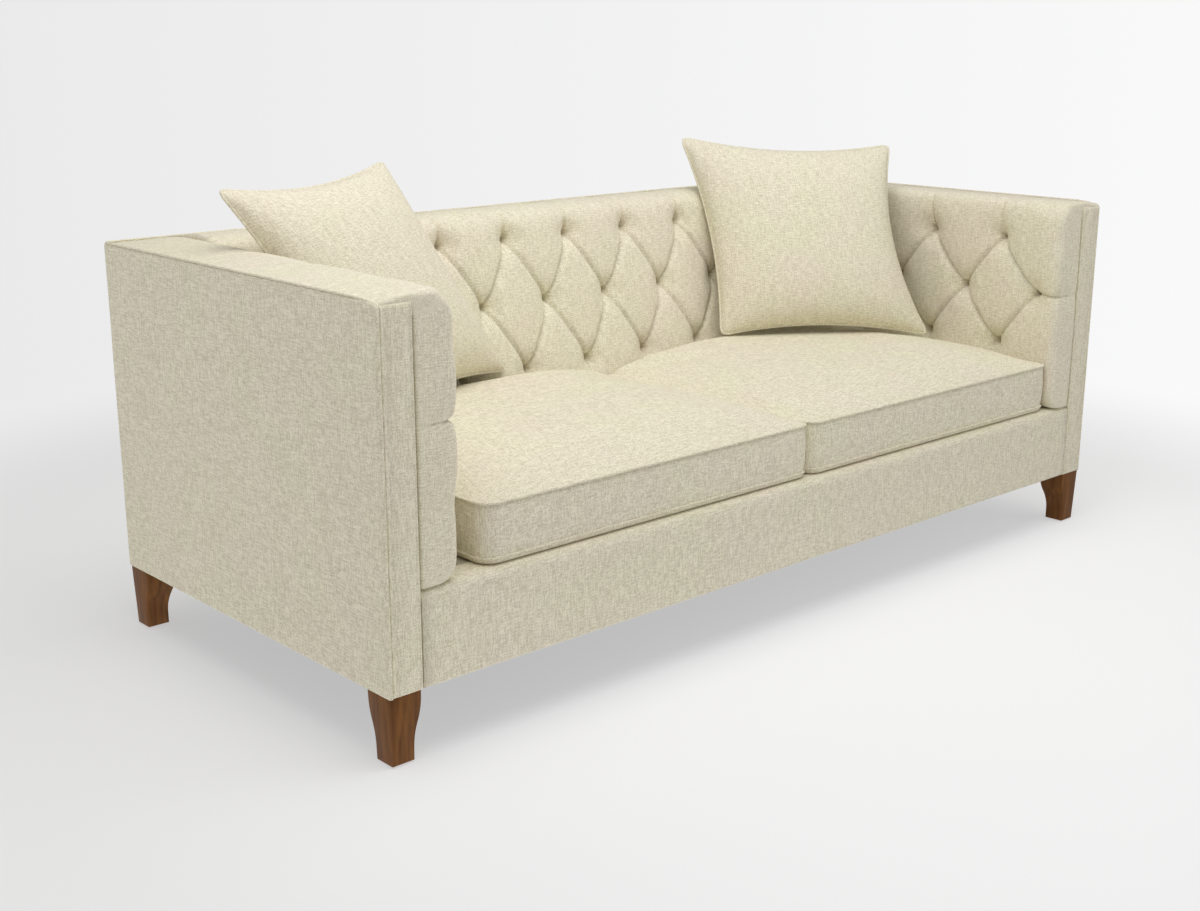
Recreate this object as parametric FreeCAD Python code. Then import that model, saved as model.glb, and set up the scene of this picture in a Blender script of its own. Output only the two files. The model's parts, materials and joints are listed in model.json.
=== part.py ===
import FreeCAD, Part
import math
import os
from FreeCAD import Vector

# A three-seat sofa with straight arms, button-tufted back and arms, two boxed seat
# cushions, two scatter cushions and four short wooden legs.
# Millimetres. +X is the sitter's left to right as seen from the front, +Y goes to the
# back, +Z is up. The origin is on the floor, below the middle of the sofa.

# Overall size
width = 2100.0
depth = 930.0
seam_height = 793.0
leg_height = 128.0

# Arms: an upholstered panel outside, a tufted pad inside
arm_panel = 74.0
arm_pad = 83.0
pad_roll_drop = 78.0
pad_crest_rise = 6.0

# Seat platform and back
platform_height = 304.0
back_rake = math.radians(15.5)
back_skin_at_platform = 147.5
back_pad = 83.0
back_crest_rise = 14.0

# Covers and frame boards
cover_thickness = 10.0
cover_round = 8.0
board = 25.0
side_board = 4.0
strap_thickness = 4.0
strap_width = 60.0
post_depth = 50.0
back_rail_height = 100.0
glue_block = 60.0
strap_shares = (0.12, 0.38, 0.64)
lip = 28.0
dust_cloth = 2.0
welt_radius = 3.0
upright_count = 5

# Seat springs
deck_thickness = 20.0
wire = 4.0
clip_plate = 4.0
spring_count = 8
spring_width = 56.0
spring_loops = 14
rail_ledge = 55.0

# Tufting
tuft_depth = 38.0
pleat_depth = 17.0
pit_width = 22.0
tuft_steps = 4
button_radius = 8.0
button_height = 6.0
button_dome = 0.6
back_pitch = 182.0
arm_pitch = 205.0
arm_first_button = 75.0
top_row_drop = 63.0
middle_row_rise = 2.5
bottom_row_rise = 141.0
low_pleat_drop = 100.0
arm_rows_drop = (21.0, 10.0, -5.0)

# Legs
leg_top = 64.0
leg_foot = 45.0
leg_inset = 4.0
leg_foot_inset = 4.0
leg_shoulder = 12.0
leg_ankle = 28.0
glide_radius = 12.0
glide_height = 3.0
bolt_radius = 4.0
bolt_length = 90.0
plate_half = 24.0

# Seat cushions
cushion_setback = 13.0
cushion_boxing = 112.0
cushion_crown = 36.0
crown_inset = 215.0
cushion_front_round = 55.0
cushion_rear_round = 28.0
cushion_wrap = 12.0
corner_steps = 4
piping_radius = 2.6

# Scatter cushions
scatter_width = 512.0
scatter_height = 500.0
scatter_front_puff = 72.0
scatter_rear_puff = 32.0
scatter_draw_in = 24.0
scatter_shell = 6.0
scatter_steps = 8
left_scatter_in = 279.6
left_scatter_behind = 13.5
left_scatter_rise = 235.6
right_scatter_in = 267.8
right_scatter_ahead = 61.6
right_scatter_rise = 231.4

# Clearances
seat_gap = 0.3
bolt_gap = 0.1
pit_rise = 0.7

half_width = width / 2
half_depth = depth / 2
panel_inner = half_width - arm_panel
seat_half = panel_inner - arm_pad
cover_inner_x = half_width - cover_thickness
cover_inner_y = half_depth - cover_thickness
frame_outer_x = cover_inner_x - side_board
frame_inner_x = panel_inner + strap_thickness
frame_back_y = cover_inner_y - side_board
frame_bottom = leg_height + dust_cloth
frame_top = seam_height - lip
rake = math.tan(back_rake)
top_row = seam_height - top_row_drop
bottom_row = platform_height + bottom_row_rise
middle_row = (top_row + bottom_row) / 2 + middle_row_rise
strap_heights = [platform_height + share * (frame_top - platform_height) for share in strap_shares]
rail_top = platform_height - deck_thickness - wire - clip_plate
spring_height = rail_top + clip_plate
deck_bottom = platform_height - deck_thickness
back_seat_y = back_skin_at_platform + back_pad / math.cos(back_rake)

nodes = {}


def box(x0, x1, y0, y1, z0, z1):
    return Part.makeBox(x1 - x0, y1 - y0, z1 - z0, Vector(x0, y0, z0))


def other_side(shape):
    return shape.mirror(Vector(0, 0, 0), Vector(1, 0, 0))


def front_to_back(shape):
    return shape.mirror(Vector(0, 0, 0), Vector(0, 1, 0))


def prism(points, direction):
    """Solid swept along direction from a closed outline of straight edges."""
    outline = Part.makePolygon([Vector(*p) for p in points + points[:1]])
    return Part.Face(outline).extrude(Vector(*direction))


def line(a, b):
    return Part.LineSegment(a, b).toShape()


def arc(a, middle, b):
    return Part.Arc(a, middle, b).toShape()


def node(name, *solids):
    nodes[name] = solids[0] if len(solids) == 1 else Part.makeCompound(list(solids))


def pair(name, shape):
    """The same piece on both sides. The shape given is the one on the right."""
    solids = shape if isinstance(shape, list) else [shape]
    node("right_" + name, *solids)
    node("left_" + name, *[other_side(s) for s in solids])


# Legs: the two outer faces are straight, the two inner faces run in an ogee
leg_corner_x = half_width - leg_inset
leg_corner_y = half_depth - leg_inset
bolt_x = leg_corner_x - leg_top / 2
bolt_y = leg_corner_y - leg_top / 2


def leg_outline():
    """Closed outline in X (inward from the outer corner) and Z, as a wire."""
    foot_inner = leg_foot_inset + leg_foot
    shoulder = leg_height - leg_shoulder
    step = leg_top - foot_inner
    drop = shoulder - leg_ankle
    radius = (step ** 2 + drop ** 2) / (4 * step)
    swing = math.asin(drop / 2 / radius)
    upper = Vector(leg_top - radius, 0, shoulder)
    lower = Vector(foot_inner + radius, 0, leg_ankle)

    def upper_point(angle):
        return upper + Vector(math.cos(angle), 0, -math.sin(angle)) * radius

    def lower_point(angle):
        return lower + Vector(-math.cos(angle), 0, math.sin(angle)) * radius

    corner = Vector(0, 0, leg_height)
    top_inner = Vector(leg_top, 0, leg_height)
    sole_inner = Vector(foot_inner, 0, glide_height)
    sole_outer = Vector(leg_foot_inset, 0, glide_height)
    return Part.Wire([
        line(corner, top_inner),
        line(top_inner, upper_point(0)),
        arc(upper_point(0), upper_point(swing / 2), upper_point(swing)),
        arc(upper_point(swing), lower_point(swing / 2), lower_point(0)),
        line(lower_point(0), sole_inner),
        line(sole_inner, sole_outer),
        line(sole_outer, corner),
    ])


def make_leg():
    across = Part.Face(leg_outline()).extrude(Vector(0, leg_top, 0))
    along = across.copy()
    along.rotate(Vector(0, 0, 0), Vector(0, 0, 1), -90)
    along = front_to_back(along)
    leg = across.common(along).Solids[0]
    hole_depth = bolt_length / 2
    hole = Part.makeCylinder(bolt_radius + bolt_gap, hole_depth,
                             Vector(leg_top / 2, leg_top / 2, leg_height - hole_depth))
    leg = leg.cut(hole).Solids[0]
    leg.translate(Vector(-leg_corner_x, -leg_corner_y, 0))
    return leg


def at_corners(shape):
    """Copies of a piece at the front left corner, for all four corners."""
    front_right = other_side(shape)
    return {
        "front_left": shape,
        "front_right": front_right,
        "rear_left": front_to_back(shape),
        "rear_right": front_to_back(front_right),
    }


for place, leg in at_corners(make_leg()).items():
    node("leg_" + place, leg)

foot_middle = leg_foot_inset + leg_foot / 2
glide = Part.makeCylinder(glide_radius, glide_height,
                          Vector(foot_middle - leg_corner_x, foot_middle - leg_corner_y, 0))
node("leg_glides", *at_corners(glide).values())

plate = box(-bolt_x - plate_half, -bolt_x + plate_half,
            -bolt_y - plate_half, -bolt_y + plate_half, leg_height, frame_bottom)
bolt_hole = Part.makeCylinder(bolt_radius + bolt_gap, bolt_length + 2 * bolt_gap,
                              Vector(-bolt_x, -bolt_y, leg_height - bolt_length / 2 - bolt_gap))
node("leg_plates", *at_corners(plate.cut(bolt_hole).Solids[0]).values())
bolt = Part.makeCylinder(bolt_radius, bolt_length,
                         Vector(-bolt_x, -bolt_y, leg_height - bolt_length / 2))
node("leg_bolts", *at_corners(bolt).values())

# Base frame: boards on edge, with glue blocks in the corners and a joist in the middle
node("front_rail", box(-frame_inner_x, frame_inner_x, -cover_inner_y, -cover_inner_y + board,
                       frame_bottom, rail_top))
back_rail_top = frame_bottom + back_rail_height
node("back_rail", box(-frame_inner_x, frame_inner_x, frame_back_y - board, frame_back_y,
                      frame_bottom, back_rail_top))
seat_rail_y = back_seat_y + strap_thickness
node("back_seat_rail", box(-frame_inner_x, frame_inner_x, seat_rail_y - board, seat_rail_y,
                           frame_bottom, rail_top))
pair("side_rail", box(frame_inner_x, frame_inner_x + board, -cover_inner_y + post_depth,
                      frame_back_y - post_depth, frame_bottom, rail_top))
node("centre_joist", box(-board / 2, board / 2, -cover_inner_y + board, seat_rail_y - board,
                         frame_bottom, back_rail_top))


def corner_block(side, y, inward):
    x = side * frame_inner_x
    return prism([(x, y, frame_bottom), (x - side * glue_block, y, frame_bottom),
                  (x, y + inward * glue_block, frame_bottom)], (0, 0, glue_block))


node("corner_blocks", *[corner_block(side, y, inward) for side in (-1, 1)
                        for y, inward in ((-cover_inner_y + board, 1), (frame_back_y - board, -1))])

# Arm frames: posts, a top rail, a thin outer board and elastic straps behind the pad
top_rail_bottom = frame_top - board
post_bolt_hole = Part.makeCylinder(bolt_radius + bolt_gap, bolt_length / 2 + bolt_gap,
                                   Vector(bolt_x, -bolt_y, leg_height))


def arm_posts():
    front = box(frame_inner_x, frame_outer_x, -cover_inner_y, -cover_inner_y + post_depth,
                frame_bottom, top_rail_bottom)
    middle = box(frame_inner_x, frame_outer_x, -post_depth / 2, post_depth / 2,
                 rail_top, top_rail_bottom)
    rear = box(frame_inner_x, frame_outer_x, frame_back_y - post_depth, frame_back_y,
               frame_bottom, top_rail_bottom)
    return [front.cut(post_bolt_hole).Solids[0], middle,
            rear.cut(front_to_back(post_bolt_hole)).Solids[0]]


pair("arm_posts", arm_posts())
pair("arm_top_rail", box(frame_inner_x, frame_outer_x, -cover_inner_y, frame_back_y,
                         top_rail_bottom, frame_top))
pair("arm_side_board", box(frame_outer_x, cover_inner_x, -cover_inner_y, frame_back_y,
                           frame_bottom, frame_top))
pair("arm_straps", [box(panel_inner, frame_inner_x, -cover_inner_y, frame_back_y, z, z + strap_width)
                    for z in strap_heights])

# Back frame: raked plywood uprights, a top rail, a thin outer board and straps


def frame_line(z):
    """How far back the back pad's rear face lies at a height."""
    return back_seat_y + (z - platform_height) * rake


def upright(x):
    front = frame_line(platform_height) + strap_thickness
    front_top = frame_line(top_rail_bottom) + strap_thickness
    foot_back = frame_back_y - board
    left = x - board / 2
    return prism([(left, front, frame_bottom), (left, front, platform_height),
                  (left, front_top, top_rail_bottom), (left, frame_back_y, top_rail_bottom),
                  (left, frame_back_y, back_rail_top), (left, foot_back, back_rail_top),
                  (left, foot_back, frame_bottom)], (board, 0, 0))


upright_reach = seat_half - board
node("back_uprights", *[upright(upright_reach * (2 * i / (upright_count - 1) - 1))
                        for i in range(upright_count)])
node("back_top_rail", box(-frame_inner_x, frame_inner_x, frame_line(frame_top) + strap_thickness,
                          frame_back_y, top_rail_bottom, frame_top))
node("back_outer_board", box(-cover_inner_x, cover_inner_x, frame_back_y, cover_inner_y,
                             frame_bottom, frame_top))


def back_strap(z):
    high = z + strap_width
    reach = seat_half - 1
    return prism([(-reach, frame_line(z), z), (-reach, frame_line(z) + strap_thickness, z),
                  (-reach, frame_line(high) + strap_thickness, high),
                  (-reach, frame_line(high), high)], (2 * reach, 0, 0))


node("back_straps", *[back_strap(z) for z in strap_heights])

# Seat support: zigzag springs hooked in clips, front to back, under a felt deck
spring_front = -cover_inner_y + board / 2
spring_back = seat_rail_y - board / 2
spring_pitch = 2 * frame_inner_x / (spring_count + 1)
spring_places = [-frame_inner_x + spring_pitch * (i + 1) for i in range(spring_count)]


def zigzag_spring(x):
    """A wire bent to and fro in a flat zigzag, with a straight bar at each end."""
    step = (spring_back - spring_front) / spring_loops
    middle = []
    for i in range(spring_loops + 1):
        side = x + (spring_width / 2 if i % 2 else -spring_width / 2)
        middle += [(side, spring_front + step * (i - 0.25)), (side, spring_front + step * (i + 0.25))]
    middle[0] = (middle[0][0], spring_front)
    middle[-1] = (middle[-1][0], spring_back)
    left, right = [], []
    for i, (px, py) in enumerate(middle):
        ax, ay = middle[max(i - 1, 0)]
        bx, by = middle[min(i + 1, len(middle) - 1)]
        length = math.hypot(bx - ax, by - ay)
        nx, ny = -(by - ay) / length * wire / 2, (bx - ax) / length * wire / 2
        left.append((px + nx, py + ny, spring_height))
        right.append((px - nx, py - ny, spring_height))
    return prism(left + right[::-1], (0, 0, wire))


def spring_clip(x, y, inward):
    side = -spring_width / 2 if inward > 0 else spring_width / 2 * (1 if spring_loops % 2 else -1)
    x += side
    reach = board / 2
    plate = box(x - 9, x + 9, y - reach, y + reach, rail_top, spring_height)
    stop_y = y - inward * (wire + seat_gap)
    stop = box(x - 9, x + 9, stop_y - wire / 2, stop_y + wire / 2, spring_height, spring_height + wire)
    return plate.fuse(stop).Solids[0]


node("seat_springs", *[zigzag_spring(x) for x in spring_places])
node("spring_clips", *[spring_clip(x, y, inward) for x in spring_places
                       for y, inward in ((spring_front, 1), (spring_back, -1))])
ledge_back = -cover_inner_y + rail_ledge
node("seat_deck", box(-panel_inner, panel_inner, ledge_back, back_seat_y, deck_bottom, platform_height))

# Outer covers: cloth over wadding, one panel per side of the sofa


def rounded_panel(panel, along, keep):
    """Rounds the outer edges that run along a direction and pass the test keep."""
    edges = []
    for edge in panel.Edges:
        a, b = edge.Vertexes[0].Point, edge.Vertexes[1].Point
        if abs((b - a).normalize().dot(along)) > 0.99 and keep((a + b) / 2):
            edges.append(edge)
    return panel.makeFillet(cover_round, edges).Solids[0]


side_cover = box(cover_inner_x, half_width, -half_depth, half_depth, leg_height, seam_height)
side_cover = rounded_panel(side_cover, Vector(0, 0, 1), lambda p: p.x > half_width - 1)
pair("arm_outer_cover", side_cover)
pair("arm_front_cover", box(panel_inner, cover_inner_x, -half_depth, -cover_inner_y,
                            leg_height, frame_top))
node("back_outer_cover", box(-cover_inner_x, cover_inner_x, cover_inner_y, half_depth,
                             leg_height, seam_height))


def front_cover():
    """Cloth over the front rail, turned back over its top edge to the deck."""
    r = cover_round
    front, top = -half_depth, platform_height
    turn = r * (1 - math.sqrt(0.5))
    outline = Part.Wire([
        line(Vector(0, front, leg_height), Vector(0, front, top - r)),
        arc(Vector(0, front, top - r), Vector(0, front + turn, top - turn), Vector(0, front + r, top)),
        line(Vector(0, front + r, top), Vector(0, ledge_back, top)),
        line(Vector(0, ledge_back, top), Vector(0, ledge_back, deck_bottom)),
        line(Vector(0, ledge_back, deck_bottom), Vector(0, -cover_inner_y, deck_bottom)),
        line(Vector(0, -cover_inner_y, deck_bottom), Vector(0, -cover_inner_y, leg_height)),
        line(Vector(0, -cover_inner_y, leg_height), Vector(0, front, leg_height)),
    ])
    cover = Part.Face(outline).extrude(Vector(2 * panel_inner, 0, 0))
    cover.translate(Vector(-panel_inner, 0, 0))
    return cover


node("front_rail_cover", front_cover())
dust = box(-cover_inner_x, cover_inner_x, -cover_inner_y, cover_inner_y, leg_height, frame_bottom)
cut_half = plate_half + 2
notch = box(-cover_inner_x, -bolt_x + cut_half, -cover_inner_y, -bolt_y + cut_half,
            leg_height, frame_bottom)
for corner_notch in at_corners(notch).values():
    dust = dust.cut(corner_notch)
node("dust_cover", dust.Solids[0])


# Soft forms are lofts through closed rows of lines and arcs. The arcs are walked in
# equal steps, so that the form is faceted as finely as it needs and no finer.


def walk(edges, steps):
    """Points along a closed row of edges: steps of them on each arc, one on each line."""
    points = []
    for edge in edges:
        count = steps if isinstance(edge.Curve, Part.Circle) else 1
        points += edge.discretize(Number=count + 1)[:-1]
    return points


def facet(*corners):
    return Part.Face(Part.makePolygon(list(corners) + [corners[0]]))


def band(low, high):
    """Facets between two closed rows of as many points."""
    facets = []
    for i in range(len(low)):
        a, b, c, d = low[i - 1], low[i], high[i], high[i - 1]
        square = (b - a).cross(c - a)
        if abs(square.normalize().dot(d - a)) < 1e-6:
            facets.append(facet(a, b, c, d))
        else:
            facets += [facet(a, b, c), facet(a, c, d)]
    return facets


def closed_solid(facets):
    shell = Part.makeShell(facets)
    shell.sewShape()
    return Part.makeSolid(shell)


def soft_loft(rows, steps):
    """Solid through closed rows of edges, with a flat facet at each end."""
    rings = [walk(edges, steps) for edges in rows]
    facets = [facet(*rings[0]), facet(*rings[-1])]
    for low, high in zip(rings, rings[1:]):
        facets += band(low, high)
    return closed_solid(facets)


def cord_round(path, up, radius, closed):
    """Six-sided piping along points that lie in one plane, with up square to it."""
    rings = []
    last = len(path) - 1
    for i, here in enumerate(path):
        before = path[i - 1] if closed or i else here
        after = path[(i + 1) % len(path)] if closed or i < last else here
        arrive = (here - before) if before is not here else (after - here)
        leave = (after - here) if after is not here else arrive
        arrive, leave = Vector(arrive).normalize(), Vector(leave).normalize()
        out = (arrive + leave).normalize().cross(up)
        stretch = 1 / max(out.dot(arrive.cross(up)), 0.3)
        rings.append([here + out * (radius * stretch * math.cos(math.radians(60 * k)))
                      + up * (radius * math.sin(math.radians(60 * k))) for k in range(6)])
    facets = []
    for low, high in zip(rings, rings[1:]):
        facets += band(low, high)
    if closed:
        facets += band(rings[-1], rings[0])
    else:
        facets += [facet(*rings[0]), facet(*rings[-1])]
    return closed_solid(facets)


def welt():
    """Piping round the outer top seam: two arms and the back, with turned corners."""
    reach_x, reach_y = half_width - welt_radius, half_depth - welt_radius
    turn = cover_round
    z = seam_height + welt_radius * math.cos(math.radians(30))
    path = [Vector(-reach_x, -half_depth, z)]
    for side, start in ((-1, 180), (1, 90)):
        for k in range(4):
            angle = math.radians(start - 30 * k)
            path.append(Vector(side * (reach_x - turn) + turn * math.cos(angle),
                               reach_y - turn + turn * math.sin(angle), z))
    path.append(Vector(reach_x, -half_depth, z))
    return cord_round(path, Vector(0, 0, 1), welt_radius, False)


node("top_welt", welt())

# Tufted pads. A pad is one loft through cross-sections stacked from its foot to its
# rolled top. Each section's front is a row of arcs between pleats. The arcs widen and
# narrow in turn from one row of buttons to the next, which draws the diamonds.


class Station:
    """One cross-section: where its skin and its back are, and how far the tufts pull in."""

    def __init__(self, skin, rear, spread, cusp, edge, end=None):
        self.skin = Vector(*skin)
        self.rear = Vector(*rear)
        self.spread = spread    # 1 where the even arcs are pits, 0 where the odd arcs are
        self.cusp = cusp        # depth of the pleats
        self.edge = edge        # depth of the crest of the arc next to each end
        self.end = end          # far end of the section, where it differs from the pad's


class Pad:
    """What all cross-sections of a pad share."""

    def __init__(self, along, start, end, first_button, pitch, cells):
        self.along = along
        self.start = start
        self.end = end
        self.first_button = first_button
        self.pitch = pitch
        self.cells = cells


least_arc = 9.0
shoulder_depth = 10.0


def pleat_places(pad, spread, stop):
    """Where the pleats cross a section, from one end of the pad to the other."""
    odd = pit_width + (pad.pitch - 2 * pit_width) * spread
    even = pad.pitch - odd
    places = [pad.start, pad.first_button - even / 2]
    for k in range(pad.cells):
        places.append(pad.first_button + k * pad.pitch / 2 + (odd if k % 2 else even) / 2)
    places.append(stop)
    for i in range(1, len(places) - 1):
        places[i] = max(places[i], places[i - 1] + least_arc)
    for i in range(len(places) - 2, 0, -1):
        places[i] = min(places[i], places[i + 1] - least_arc)
    return places


def crest_depth(cell, pitch, cusp):
    """Depth of an arc's crest: none on a full diamond, the whole pull on a pit."""
    fullness = min(max((cell - pit_width) / (pitch - 2 * pit_width), 0), 1)
    return cusp * (1 - math.sin(math.pi / 2 * fullness)) - 0.4 * (1 - fullness)


def section(pad, station):
    """Closed row of edges of one cross-section of a pad."""
    inward = (station.rear - station.skin).normalize()
    stop = pad.end if station.end is None else station.end
    shoulder = min(shoulder_depth, station.cusp * 0.8)
    places = pleat_places(pad, station.spread, stop)
    near = 2.5 * least_arc
    depths = [station.cusp if pad.start + near < u < stop - near else shoulder for u in places]

    def point(u, d):
        return station.skin + pad.along * u + inward * d

    edges = []
    last = len(places) - 2
    for i in range(last + 1):
        a, b = places[i], places[i + 1]
        ends = (depths[i] + depths[i + 1]) / 2
        crest = station.edge if i in (0, last) else crest_depth(b - a, pad.pitch, station.cusp)
        crest = min(crest, ends - 0.4)
        edges.append(arc(point(a, depths[i]), point((a + b) / 2, crest), point(b, depths[i + 1])))
    back_a, back_b = station.rear + pad.along * pad.start, station.rear + pad.along * stop
    edges.append(line(point(stop, shoulder), back_b))
    edges.append(line(back_b, back_a))
    edges.append(line(back_a, point(pad.start, shoulder)))
    return edges


def between_rows(low, high, spread_low, make):
    """Stations between two rows of buttons, with the pits' flats at each end."""
    flat = pit_width / 2 - 1
    span = high - low - 2 * flat
    stations = []
    for quarter in (0, 1, 2, 3, 4):
        t = quarter / 4
        spread = abs(spread_low - t)
        cusp = tuft_depth - (tuft_depth - pleat_depth) * math.sin(math.pi * t) ** 0.7
        stations.append(make(low + flat + span * t, spread, cusp))
    return stations


# Back pad
toward_skin = Vector(0, -math.cos(back_rake), math.sin(back_rake))


def back_rear_point(z):
    return Vector(0, frame_line(z), z)


def back_station(z, spread, cusp, edge=4.0):
    """Section square to the raked back, through the button line at a height."""
    below = (back_pad - tuft_depth) * math.sin(back_rake)
    rear = back_rear_point(z - below)
    return Station(rear + toward_skin * back_pad, rear, spread, cusp, edge)


top_pleat = 13.0
back_crest = seam_height + back_crest_rise
back_stations = [
    Station((0, back_skin_at_platform, platform_height), back_rear_point(platform_height),
            0.0, top_pleat, 4.0),
    back_station(bottom_row - low_pleat_drop, 0.0, top_pleat),
]
back_stations += between_rows(bottom_row, middle_row, 0.0, back_station)
back_stations[2:2] = [back_station(bottom_row - pit_width / 2 + 1, 0.0, tuft_depth)]
back_stations += between_rows(middle_row, top_row, 1.0, back_station)
back_stations += [
    back_station(top_row + pit_width / 2, 0.0, tuft_depth),
    back_station(top_row + 30, 0.0, top_pleat),
    Station((0, frame_line(frame_top) - 78, frame_top + 20), back_rear_point(frame_top),
            0.0, top_pleat, 4.0),
    Station((0, frame_line(frame_top) - 57, back_crest - 6),
            (0, frame_line(frame_top) + 18, frame_top), 0.0, 10.0, 4.0),
    Station((0, frame_line(frame_top) - 12, back_crest),
            (0, frame_line(frame_top) + 40, frame_top), 0.0, 5.0, 2.0),
    Station((0, cover_inner_y, seam_height), (0, cover_inner_y, frame_top), 0.0, 3.0, 1.0),
]


def loft_pad(pad, stations):
    return soft_loft([section(pad, s) for s in stations], tuft_steps)


back_reach = seat_half - seat_gap
outer_columns = math.floor(back_reach / back_pitch - 0.5)
back_outer_button = (outer_columns + 0.5) * back_pitch
back = Pad(Vector(1, 0, 0), -back_reach, back_reach, -back_outer_button, back_pitch,
           4 * outer_columns + 3)
node("back_pad", loft_pad(back, back_stations))

# Arm pads
arm_rows = [row - drop for row, drop in zip((top_row, middle_row, bottom_row), arm_rows_drop)]


def arm_station(z, spread, cusp, edge=3.0, skin=None):
    skin_x = seat_half if skin is None else skin
    return Station((skin_x, 0, z), (panel_inner, 0, z), spread, cusp, edge, frame_line(z))


crest = seam_height + pad_crest_rise
roll_start = crest - pad_roll_drop
notch = 15.0
arm_stations = [
    arm_station(platform_height, 0.0, top_pleat, skin=seat_half + 28),
    arm_station(platform_height + 8, 0.0, top_pleat, skin=seat_half + 12),
    arm_station(platform_height + 30, 0.0, top_pleat, skin=seat_half + 1),
    arm_station(arm_rows[2] - 30, 0.0, top_pleat),
    arm_station(arm_rows[2] - pit_width / 2 + 1, 0.0, tuft_depth),
]
arm_stations += between_rows(arm_rows[2], arm_rows[1], 0.0, arm_station)
arm_stations += between_rows(arm_rows[1], arm_rows[0], 1.0, arm_station)
for station in arm_stations:
    if station.spread == 1.0:
        station.edge = notch
arm_stations += [
    arm_station(arm_rows[0] + pit_width / 2, 0.0, tuft_depth),
    Station((seat_half + 3, 0, roll_start + 24), (panel_inner, 0, frame_top - 20),
            0.0, top_pleat, 3.0, frame_line(frame_top - 20)),
    Station((seat_half + 11, 0, crest - 24), (panel_inner, 0, frame_top),
            0.0, top_pleat, 3.0, frame_line(frame_top)),
    Station((seat_half + 12, 0, crest - 22), (panel_inner + 1, 0, frame_top),
            0.0, top_pleat, 3.0, cover_inner_y),
    Station((seat_half + 30, 0, crest - 2), (panel_inner + 14, 0, frame_top),
            0.0, 9.0, 3.0, cover_inner_y),
    Station((panel_inner + 8, 0, crest), (panel_inner + 34, 0, frame_top), 0.0, 4.0, 2.0, cover_inner_y),
    Station((cover_inner_x, 0, seam_height), (cover_inner_x, 0, frame_top),
            0.0, 3.0, 1.0, cover_inner_y),
]
arm = Pad(Vector(0, 1, 0), -half_depth, cover_inner_y, -half_depth + arm_first_button, arm_pitch, 7)
pair("arm_pad", loft_pad(arm, arm_stations))

# Buttons: small covered discs on the floor of each pit


def button(seat, outward):
    """Eight-sided disc, narrower at its face."""
    side = outward.cross(Vector(0, 1, 0) if abs(outward.y) < 0.5 else Vector(1, 0, 0)).normalize()
    other = outward.cross(side)

    def ring(radius, rise):
        return [seat + outward * rise + side * (radius * math.cos(math.radians(45 * k)))
                + other * (radius * math.sin(math.radians(45 * k))) for k in range(8)]

    base, face = ring(button_radius, 0), ring(button_radius * button_dome, button_height)
    return closed_solid(band(base, face) + [facet(*base), facet(*face)])


def back_button(x, z):
    floor = back_rear_point(z - (back_pad - tuft_depth) * math.sin(back_rake))
    floor += toward_skin * (back_pad - tuft_depth + pit_rise) + Vector(x, 0, 0)
    return button(floor, toward_skin)


def arm_button(y, z):
    return button(Vector(seat_half + tuft_depth - pit_rise, y, z), Vector(-1, 0, 0))


def button_row(pad, offset, stop):
    """Places along a pad of every second cell's button, as far as stop."""
    places = []
    for k in range(offset, pad.cells, 2):
        u = pad.first_button + k * pad.pitch / 2
        if u < stop:
            places.append(u)
    return places


back_rows = ((1, top_row), (0, middle_row), (1, bottom_row))
node("back_buttons", *[back_button(x, z) for offset, z in back_rows
                       for x in button_row(back, offset, back_reach)])
pair("arm_buttons", [arm_button(y, z) for offset, z in zip((1, 0, 1), arm_rows)
                     for y in button_row(arm, offset, frame_line(z) - arm_pitch / 2)])

# Seat cushions: a foam block in a boxed cover, pulled in at its two piped seams
cushion_bottom = platform_height + seat_gap
bottom_seam = cushion_bottom + 8
top_seam = cushion_bottom + cushion_boxing
cushion_top = top_seam + cushion_crown


def skin_line(z):
    """Front of the back pad's fullest diamonds at a height."""
    return back_skin_at_platform + (z - platform_height) * rake


def cushion_outline(left, right, z, inset):
    """Rounded rectangle, with its rear edge parallel to the raked back."""
    x0, x1 = left + inset, right - inset
    y0 = -half_depth + cushion_setback + inset
    y1 = skin_line(min(z, top_seam)) - seat_gap - inset
    front = max(cushion_front_round - inset * 0.3, 12)
    rear = max(cushion_rear_round - inset * 0.1, 8)

    def corner(cx, cy, r, angle):
        a = math.radians(angle)
        return Vector(cx + r * math.cos(a), cy + r * math.sin(a), z)

    corners = ((x1 - front, y0 + front, front, 270), (x1 - rear, y1 - rear, rear, 0),
               (x0 + rear, y1 - rear, rear, 90), (x0 + front, y0 + front, front, 180))
    edges = []
    for i, (cx, cy, r, angle) in enumerate(corners):
        nx, ny, nr, next_angle = corners[(i + 1) % 4]
        edges.append(arc(corner(cx, cy, r, angle), corner(cx, cy, r, angle + 45),
                         corner(cx, cy, r, angle + 90)))
        edges.append(line(corner(cx, cy, r, angle + 90), corner(nx, ny, nr, next_angle)))
    return edges


seam_inset = 2 * piping_radius + 0.6
cushion_profile = (
    (cushion_bottom, 24.0),
    (bottom_seam - 4, 10.0),
    (bottom_seam, seam_inset),
    (bottom_seam + 0.25 * cushion_boxing, 2.0),
    (bottom_seam + 0.5 * cushion_boxing, 0.6),
    (top_seam - 0.22 * cushion_boxing, 2.0),
    (top_seam, seam_inset),
    (top_seam + 0.30 * cushion_crown, 24.0),
    (top_seam + 0.62 * cushion_crown, 66.0),
    (top_seam + 0.88 * cushion_crown, 130.0),
    (cushion_top, crown_inset),
)


foam_profile = (
    (cushion_bottom + cushion_wrap, 24.0 + cushion_wrap),
    (bottom_seam + cushion_wrap, 6.0 + cushion_wrap),
    (top_seam - cushion_wrap / 2, 6.0 + cushion_wrap),
    (top_seam + 0.5 * cushion_crown - cushion_wrap, 66.0 + cushion_wrap),
    (cushion_top - cushion_wrap, crown_inset + cushion_wrap),
)


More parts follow.
